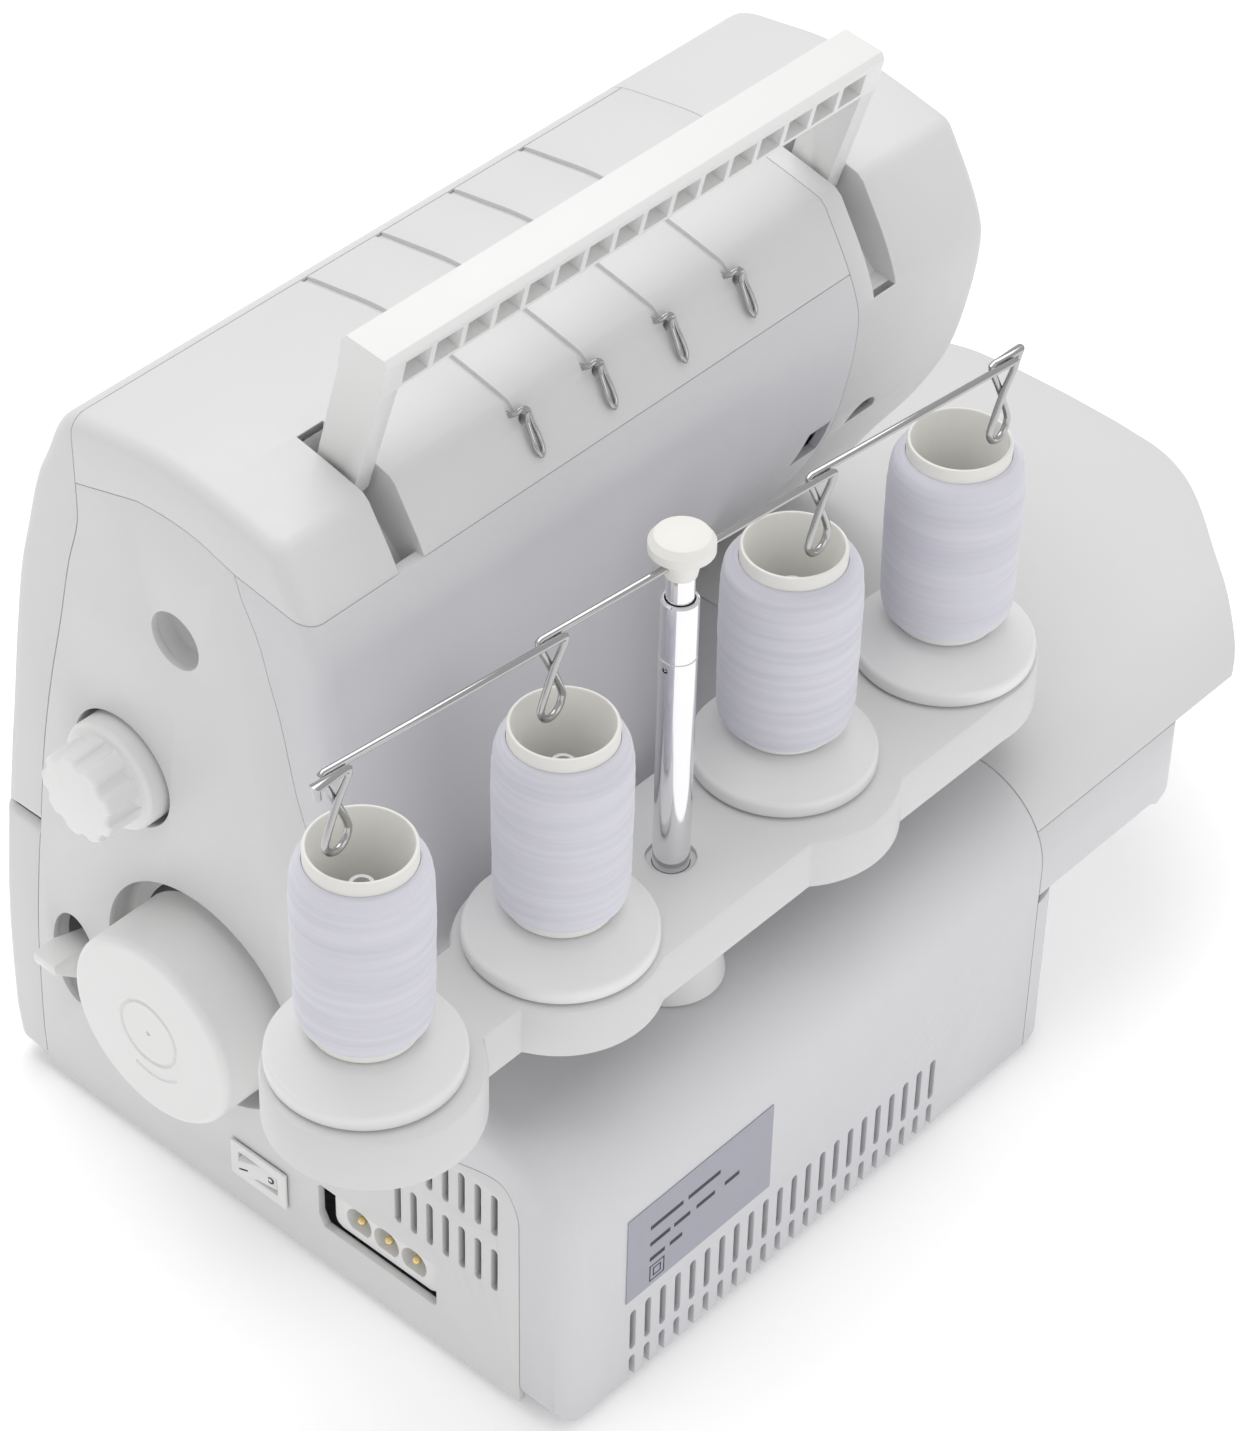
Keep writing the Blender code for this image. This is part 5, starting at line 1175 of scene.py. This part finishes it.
def handwheel():
    """Dished wheel: rounded rim, flat face with a ringed hub, a finger dimple and a centre mark."""
    rim, face = WHEEL_RADIUS, WHEEL_FACE
    edge = [(rim - 2.6 + 2.6 * math.cos(a), face - 2.6 + 2.6 * math.sin(a))
            for a in (math.pi / 2 * i / 8 for i in range(9))]
    profile = ((SHAFT_RADIUS + HALF_GAP, WHEEL_BACK + 2), (SHAFT_RADIUS + 4, WHEEL_BACK + 2),
               (SHAFT_RADIUS + 4, face - 2 * WHEEL_WALL), (rim - WHEEL_WALL, face - 2 * WHEEL_WALL),
               (rim - WHEEL_WALL, WHEEL_BACK), (rim, WHEEL_BACK), *edge, (HUB_RADIUS + 0.7, face),
               (HUB_RADIUS + 0.2, face - 0.6), (HUB_RADIUS - 0.2, face - 0.6), (HUB_RADIUS - 0.7, face),
               (0, face), (0, face - WHEEL_WALL), (SHAFT_RADIUS + HALF_GAP, face - WHEEL_WALL))
    wheel = solid("handwheel", revolve("X", WHEEL_CENTRE, profile, FINE_SEGMENTS), "control_white")
    arc_line = [(face + 0.35, y, z) for y, z in arc(WHEEL_CENTRE, HUB_RADIUS + 4.6, -112, -48, 32)]
    dimple = solid("finger_arc", sweep(arc_line, 0.75))
    spot = solid("centre_mark", cylinder("X", WHEEL_CENTRE, 0.8, face - 0.35, face + 1, 24))
    cut(wheel, dimple, spot)
    return wheel


def carrying_handle():
    """Bar on two arms with pivot stubs; a row of square pockets lightens its rear lower edge."""
    grip = solid("carrying_handle", prism("X", HANDLE_BAR, HANDLE_LEFT, HANDLE_RIGHT),
                 "control_white")
    half = HANDLE_ARM_WIDTH / 2
    for name, x, stub in (("right_arm", handle_arm_xs()[0], 1), ("left_arm", handle_arm_xs()[1], -1)):
        inner = x - stub * (half + 3)
        fuse(grip, solid(name, prism("X", HANDLE_ARM, x - half, x + half)),
             solid(f"{name}_stub", cylinder("X", HANDLE_PIVOT, HANDLE_PIN_RADIUS, min(inner, x),
                                            max(inner, x), 32)))
    pitch = (HANDLE_RIGHT - HANDLE_LEFT - 2 * HANDLE_ARM_WIDTH) / HANDLE_POCKETS
    pockets = []
    for i in range(HANDLE_POCKETS):
        low = HANDLE_LEFT + HANDLE_ARM_WIDTH + pitch * i + POCKET_WEB / 2
        pockets.append(solid(f"handle_pocket_{i + 1}",
                             prism("X", POCKET_OUTLINE, low, low + pitch - POCKET_WEB)))
    cut(grip, joined("handle_pockets", pockets))
    return grip


def thread_guide_bar():
    """One bent wire across the mast: straight runs, with a crossed teardrop hook at each joint."""
    lean, half = HOOK_OFFSET / 2, HOOK_HALF
    neck = HOOK_NECK * half
    path = [guide_point(HOOK_REACH[0] - half - 1.5, 4.0, -lean),
            guide_point(HOOK_REACH[0] - half - 2.2, 0, -lean)]
    for at in HOOK_REACH:
        path += [guide_point(at + neck - 0.8, 0, -lean), guide_point(at + neck, 0.5, -lean),
                 guide_point(at + neck, 1.4, -lean)]
        loop = [guide_point(at + neck - 0.2, 2.2, -lean), guide_point(at, HOOK_CROSS, -0.6 * lean)]
        for i in range(13):
            angle = math.pi * i / 12
            loop.append(guide_point(at - HOOK_BULGE * half * math.cos(angle),
                                    HOOK_DROP - half + half * math.sin(angle),
                                    -0.6 * lean + 1.2 * lean * i / 12))
        loop += [guide_point(at, HOOK_CROSS, 0.6 * lean), guide_point(at - neck + 0.2, 2.2, lean)]
        path += spline(loop, 4)
        path += [guide_point(at - neck, 1.4, lean), guide_point(at - neck, 0.5, lean),
                 guide_point(at - neck + 0.8, 0, lean)]
    path += [guide_point(HOOK_REACH[-1] + half + 2.2, 0, lean),
             guide_point(HOOK_REACH[-1] + half + 1.5, 4.0, lean)]
    return solid("thread_guide_bar", sweep(path, GUIDE_RADIUS), "wire")


def top_guides():
    """Wire stubs at the ridge, each with a narrow loop that hangs down the rear face."""
    for i, x in enumerate(GROOVE_XS):
        path = [(x + 0.6, 5, 249.2), (x + 0.6, 11.8, 249.6), (x + 0.1, 13.2, 250.6), (x - 1.9, 13.9, 251.4),
                (x - 3.3, 14.2, 250.4), (x - 3.9, 15.6, 246.5), (x - 4.3, 17.6, 242.5),
                (x - 4.1, 18.9, 239.8),
                (x - 3.0, 19.4, 238.8), (x - 2.0, 18.9, 240.2), (x - 1.9, 17.2, 244), (x - 2.3, 15.0, 248.3),
                (x - 2.7, 14.8, 251.0), (x - 1.2, 15.0, 251.6)]
        solid(f"top_thread_guide_{i + 1}", sweep(spline(path, 5), TOP_GUIDE_RADIUS), "wire")


def arm_cups():
    """Closed pockets round the ends of the handle arms."""
    for name, x in zip(("right_arm_cup", "left_arm_cup"), handle_arm_xs()):
        half = HANDLE_ARM_WIDTH / 2 + ARM_POCKET_CLEAR
        reach = (x - half - CUP_WALL, x + half + CUP_WALL)
        share = 0.0 if x > COLUMN_LEFT else 1.0
        cup = solid(name, prism("X", head_ring(share, 0.25), *reach), "shell_white")
        keep(cup, solid("cup_region", prism("X", CUP_OUTLINE, *reach)))
        cut(cup, solid("cup_inside", prism("X", ARM_POCKET, x - half + 0.05, x + half - 0.05)))
        part_of("top_cover" if share == 0.0 else "arm_end_cover", cup)


def ripple(angle, height, seed):
    """Uneven lay of the wound thread, in millimetres: slow helical bands and shorter lumps."""
    value = 0.03 * math.sin(angle * 1.0 + height * 0.42 + seed)
    value += 0.03 * math.sin(-angle + height * 1.35 + 2.1 * seed)
    value += 0.04 * math.sin(angle + height * 1.7 + 0.7 * seed)
    value += 0.03 * math.sin(-angle + height * 2.9 + 1.3 * seed)
    return value + 0.015 * math.sin(2.0 * angle + height * 4.3 + seed)


def winding(number, spot, radius):
    """Body of cross-wound thread on its tube, with uneven bands."""
    inner = TUBE_OUTER + HALF_GAP
    profile = spline([(inner + 0.6, WINDING_BOTTOM - 0.4), (radius - 1.6, WINDING_BOTTOM + 0.2),
                      (radius - 0.5, WINDING_BOTTOM + 2.4), (radius, WINDING_BOTTOM + 14),
                      (radius, WINDING_TOP - WINDING_SHOULDER - 5),
                      (radius - 0.9, WINDING_TOP - WINDING_SHOULDER),
                      (inner + 1.2, WINDING_TOP - 0.4)], 14)
    bm = bmesh.new()
    rings = []
    for i, (r, z) in enumerate(profile):
        fade = min(1.0, i / 6.0, (len(profile) - 1 - i) / 6.0)
        ring = []
        for k in range(FINE_SEGMENTS):
            a = math.tau * k / FINE_SEGMENTS
            here = r + fade * ripple(a, z, number * 1.7)
            ring.append(bm.verts.new((spot[0] + here * math.cos(a), spot[1] + here * math.sin(a), z)))
        rings.append(ring)
    for z in (WINDING_TOP, WINDING_BOTTOM):
        ring = [bm.verts.new((spot[0] + inner * math.cos(a), spot[1] + inner * math.sin(a), z))
                for a in (math.tau * k / FINE_SEGMENTS for k in range(FINE_SEGMENTS))]
        rings.append(ring)
    for low, high in zip(rings, rings[1:] + rings[:1]):
        for i in range(FINE_SEGMENTS):
            j = (i + 1) % FINE_SEGMENTS
            bm.faces.new((low[i], low[j], high[j], high[i]))
    return solid(f"thread_winding_{number}", bm, "thread")


def cones():
    for i, (spot, radius) in enumerate(zip(SPOOL_PINS, WINDING_RADII)):
        bore = PIN_RADIUS + 0.6 + RUNNING_FIT
        number = i + 1
        edge = [(HOLDER_RADIUS - 1.5 + 1.5 * math.cos(a), HOLDER_FOOT + HOLDER_RIM - 1.5 + 1.5 * math.sin(a))
                for a in (math.pi / 2 * k / 6 for k in range(7))]
        solid(f"cone_holder_{number}", revolve("Z", spot, (
            (bore, HOLDER_FOOT), (HOLDER_RADIUS - 0.6, HOLDER_FOOT), (HOLDER_RADIUS, HOLDER_FOOT + 0.8),
            *edge,
            (TUBE_OUTER + 3.2, HOLDER_NECK - 1), (TUBE_OUTER + 1, HOLDER_NECK),
            (HOLDER_HUB_RADIUS, HOLDER_NECK),
            (HOLDER_HUB_RADIUS - 1, HOLDER_HUB_TOP), (bore, HOLDER_HUB_TOP)), FINE_SEGMENTS),
            "control_white")
        solid(f"spool_tube_{number}", revolve("Z", spot, (
            (TUBE_INNER, TUBE_BOTTOM), (TUBE_OUTER, TUBE_BOTTOM), (TUBE_OUTER, TUBE_TOP - 0.6),
            (TUBE_OUTER - 0.3, TUBE_TOP - 0.1), (TUBE_OUTER - 0.6, TUBE_TOP), (TUBE_INNER + 0.3, TUBE_TOP),
            (TUBE_INNER, TUBE_TOP - 0.4)), FINE_SEGMENTS), "cream_plastic")
        winding(number, spot, radius)


def tension_dials():
    """Four dials with finely knurled rims."""
    for i, x in enumerate(dial_xs()):
        rim = []
        for k in range(180):
            a = math.tau * k / 180
            r = DIAL_RADIUS - 0.35 * (0.5 + 0.5 * math.cos(60 * a))
            rim.append((DIAL_Y + 2 + r * math.cos(a), DIAL_Z + r * math.sin(a)))
        core = inset(rim, 0.9)
        solid(f"tension_dial_{i + 1}",
              loft("X", ((x - 3.6, core), (x - 2.6, rim), (x + 2.6, rim), (x + 3.6, core))),
              "control_white")


def rating_label():
    """Foil label with generic bars and a double square."""
    face = REAR_FACE + LABEL_GAP + LABEL_THICK
    plate = solid("rating_label", box(LABEL_X, (face - LABEL_THICK, face), LABEL_Z), "label_silver")
    reach = (face + PRINT_REACH[0], face + PRINT_REACH[1])
    bars = []
    for row, (z, spans) in enumerate(LABEL_BARS):
        for k, (x0, x1) in enumerate(spans):
            bars.append(solid(f"bar_{row}_{k}", box((LABEL_X[1] - x1, LABEL_X[1] - x0), reach,
                                                    (LABEL_Z[0] + z, LABEL_Z[0] + z + BAR_HEIGHT))))
    line = SQUARE_LINE
    for k, (low, high) in enumerate(SQUARES):
        x0, x1 = (LABEL_X[1] - SQUARE_LEFT + shift for shift in (low, high))
        z0, z1 = (LABEL_Z[0] + SQUARE_BOTTOM + shift for shift in (low, high))
        sides = (((x0, x1), (z0, z0 + line)), ((x0, x1), (z1 - line, z1)),
                 ((x0, x0 + line), (z0, z1)), ((x1 - line, x1), (z0, z1)))
        for n, (xs, zs) in enumerate(sides):
            bars.append(solid(f"square_{k}_{n}", box(xs, reach, zs)))
    ink = joined("label_print", bars)
    ink.data.materials.append(material("dark_plastic"))
    part_of("rating_label", ink)
    return plate


EXTRAS = {}


def part_of(node_name, obj):
    """An added piece that moves with the body of that CAD node."""
    EXTRAS[obj.name] = node_name
    return obj


def inlet_contacts():
    """Three ball-ended contacts on one busbar behind the inlet."""
    height = (INLET_Z[0] + INLET_Z[1]) / 2
    ys = contact_ys()
    bar = solid("inlet_contacts", box((INLET_BACK - 4, INLET_BACK - GAP), (ys[0] - 3, ys[-1] + 3),
                                      (height - 3, height + 3)), "gold")
    ball = [(CONTACT_BALL * math.cos(a), INLET_FACE - CONTACT_BALL + CONTACT_BALL * math.sin(a))
            for a in (math.radians(-50 + 14 * i) for i in range(10))]
    for i, y in enumerate(ys):
        fuse(bar, solid(f"contact_{i + 1}", revolve("X", (y, height), (
            (0, INLET_BACK - 2), (CONTACT_STEM, INLET_BACK - 2),
            (CONTACT_STEM, INLET_FACE - 2 * CONTACT_BALL), *ball,
            (0, INLET_FACE)), 32)))
    return bar


def switch_marks():
    """Generic line and ring on the two halves of the rocker."""
    face = BODY_RIGHT + SWITCH_PROUD
    y, z = (SWITCH_Y[0] + SWITCH_Y[1]) / 2, (SWITCH_Z[0] + SWITCH_Z[1]) / 2
    line = solid("mark_line", prism("Z",
                                    ((face + 1.85, y - 5.3), (face + 1.98, y - 5.3), (face + 1.08, y - 2.9),
                                          (face + 0.9, y - 2.9)), z - 0.3, z + 0.3), "dark_plastic")
    ring = solid("mark_ring", revolve("X", (y + 4.3, z),
                                      ((0.75, face - 1.2), (1.2, face - 1.2), (1.2, face - 0.62),
                                                          (0.75, face - 0.62)), 40), "dark_plastic")
    part_of("power_rocker", line)
    part_of("power_rocker", ring)


def recess_backs():
    """Slanted back behind the small window in the rear of the arm; its darker grey than the white shell is
    painted shade for the recess.
    """
    part_of("rear_body_cover", solid("arm_window_back", prism("X", ((7.0, 168), (8.2, 168), (14.2, 186),
                                                                    (13.0, 186)), -97.2, -82.0),
                                        "recess_grey"))


def dress(node_name, finish):
    """A CAD part shown as it is, with its own finish and lightly rounded edges."""
    obj = frame["nodes"][node_name]
    obj.data.materials.clear()
    obj.data.materials.append(material(finish))
    step = obj.modifiers.new("edges", "BEVEL")
    step.width = DRESSED_EDGE * MM
    step.segments = 2
    step.limit_method = "ANGLE"
    step.angle_limit = math.radians(40)
    smooth(obj)


def build():
    before = set(bpy.data.objects)
    for make in (right_side_cover, rear_cover, rear_body_cover, top_cover, arm_end_cover, front_cover,
                 looper_door,
                 left_base_cover, bed_cover, bed_lower_cover, carrying_handle, handwheel, stitch_length_knob,
                 differential_lever, switch_frame, power_rocker, power_inlet, inlet_contacts, rating_label,
                 spool_stand, mast_tube,
                 mast_cap, thread_guide_bar, cones, top_guides, tension_dials, switch_marks, recess_backs,
                 arm_cups):
        make()
    slots = {entry["slot"] for entry in frame["record"]["materials"]}
    for obj in sorted(set(bpy.data.objects) - before, key=lambda o: o.name):
        extra = EXTRAS.get(obj.name)
        node_name = extra or obj.name.rsplit(".", 1)[0]
        finish = FINISH_OF.get(obj.data.materials[0].name)
        if extra:
            smooth(obj)
        elif node_name.startswith(ROUND_PARTS):
            smooth(obj, 40.0)
        elif EDGES.get(node_name, EDGE):
            soften(obj, EDGES.get(node_name, EDGE))
        else:
            smooth(obj)
        if not extra:
            obj.name = f"{node_name}_skin"
        show(obj, frame["nodes"][node_name]["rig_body"], finish if finish in slots else None,
             *(() if extra else (node_name,)))
    for node_name, finish in DRESSED.items():
        dress(node_name, finish)


# Scene ------------------------------------------------------------------------------------------

def make_camera():
    a, e, roll = (math.radians(v) for v in (CAMERA_AZIMUTH, CAMERA_ELEVATION, CAMERA_ROLL))
    back = Vector((math.sin(a) * math.cos(e), -math.cos(a) * math.cos(e), math.sin(e)))
    right = Vector((math.cos(a), math.sin(a), 0.0))
    up = back.cross(right)
    turned = right * math.cos(roll) + up * math.sin(roll)
    above = up * math.cos(roll) - right * math.sin(roll)
    data = bpy.data.cameras.new("camera")
    data.sensor_fit = "VERTICAL"
    data.sensor_height = SENSOR
    data.lens = FOCAL
    data.clip_start = 0.05
    data.clip_end = 30.0
    camera = bpy.data.objects.new("camera", data)
    camera.matrix_world = Matrix((
        (turned.x, above.x, back.x, CAMERA_SPOT[0]),
        (turned.y, above.y, back.y, CAMERA_SPOT[1]),
        (turned.z, above.z, back.z, CAMERA_SPOT[2]),
        (0, 0, 0, 1)))
    bpy.context.scene.collection.objects.link(camera)
    bpy.context.scene.camera = camera


def area_light(name, spot, aim, size, power):
    data = bpy.data.lights.new(name, "AREA")
    data.shape = "RECTANGLE"
    data.size, data.size_y = size
    data.energy = power
    light = bpy.data.objects.new(name, data)
    light.location = spot
    light.rotation_euler = (Vector(aim) - Vector(spot)).to_track_quat("-Z", "Y").to_euler()
    bpy.context.scene.collection.objects.link(light)


def make_studio():
    scene = bpy.context.scene
    scene.view_settings.view_transform = "Standard"
    world = bpy.data.worlds.new("studio")
    world.use_nodes = True
    world.node_tree.nodes["Background"].inputs["Color"].default_value = (1.0, 1.0, 1.0, 1.0)
    world.node_tree.nodes["Background"].inputs["Strength"].default_value = WORLD_STRENGTH
    scene.world = world
    area_light("top_softbox", (-0.3, -0.5, 1.9), (0.0, 0.0, 0.1), (1.6, 1.6), TOP_POWER)
    area_light("side_softbox", (1.5, -0.5, 1.0), (0.0, 0.0, 0.15), (1.2, 1.2), SIDE_POWER)
    area_light("rear_softbox", (0.2, 1.8, 0.9), (0.0, 0.0, 0.15), (1.4, 1.0), REAR_POWER)
    bm = bmesh.new()
    bmesh.ops.create_grid(bm, x_segments=1, y_segments=1, size=6.0)
    mesh = bpy.data.meshes.new("floor")
    bm.to_mesh(mesh)
    bm.free()
    floor = bpy.data.objects.new("floor", mesh)
    mesh.materials.append(floor_material())
    scene.collection.objects.link(floor)


def floor_material():
    mat = bpy.data.materials.new("floor_paper")
    mat.use_nodes = True
    shader = mat.node_tree.nodes["Principled BSDF"]
    shader.inputs["Base Color"].default_value = (0.97, 0.97, 0.97, 1.0)
    shader.inputs["Roughness"].default_value = 0.9
    shader.inputs["Emission Color"].default_value = (1.0, 1.0, 1.0, 1.0)
    shader.inputs["Emission Strength"].default_value = FLOOR_GLOW
    return mat


build()
make_camera()
make_studio()
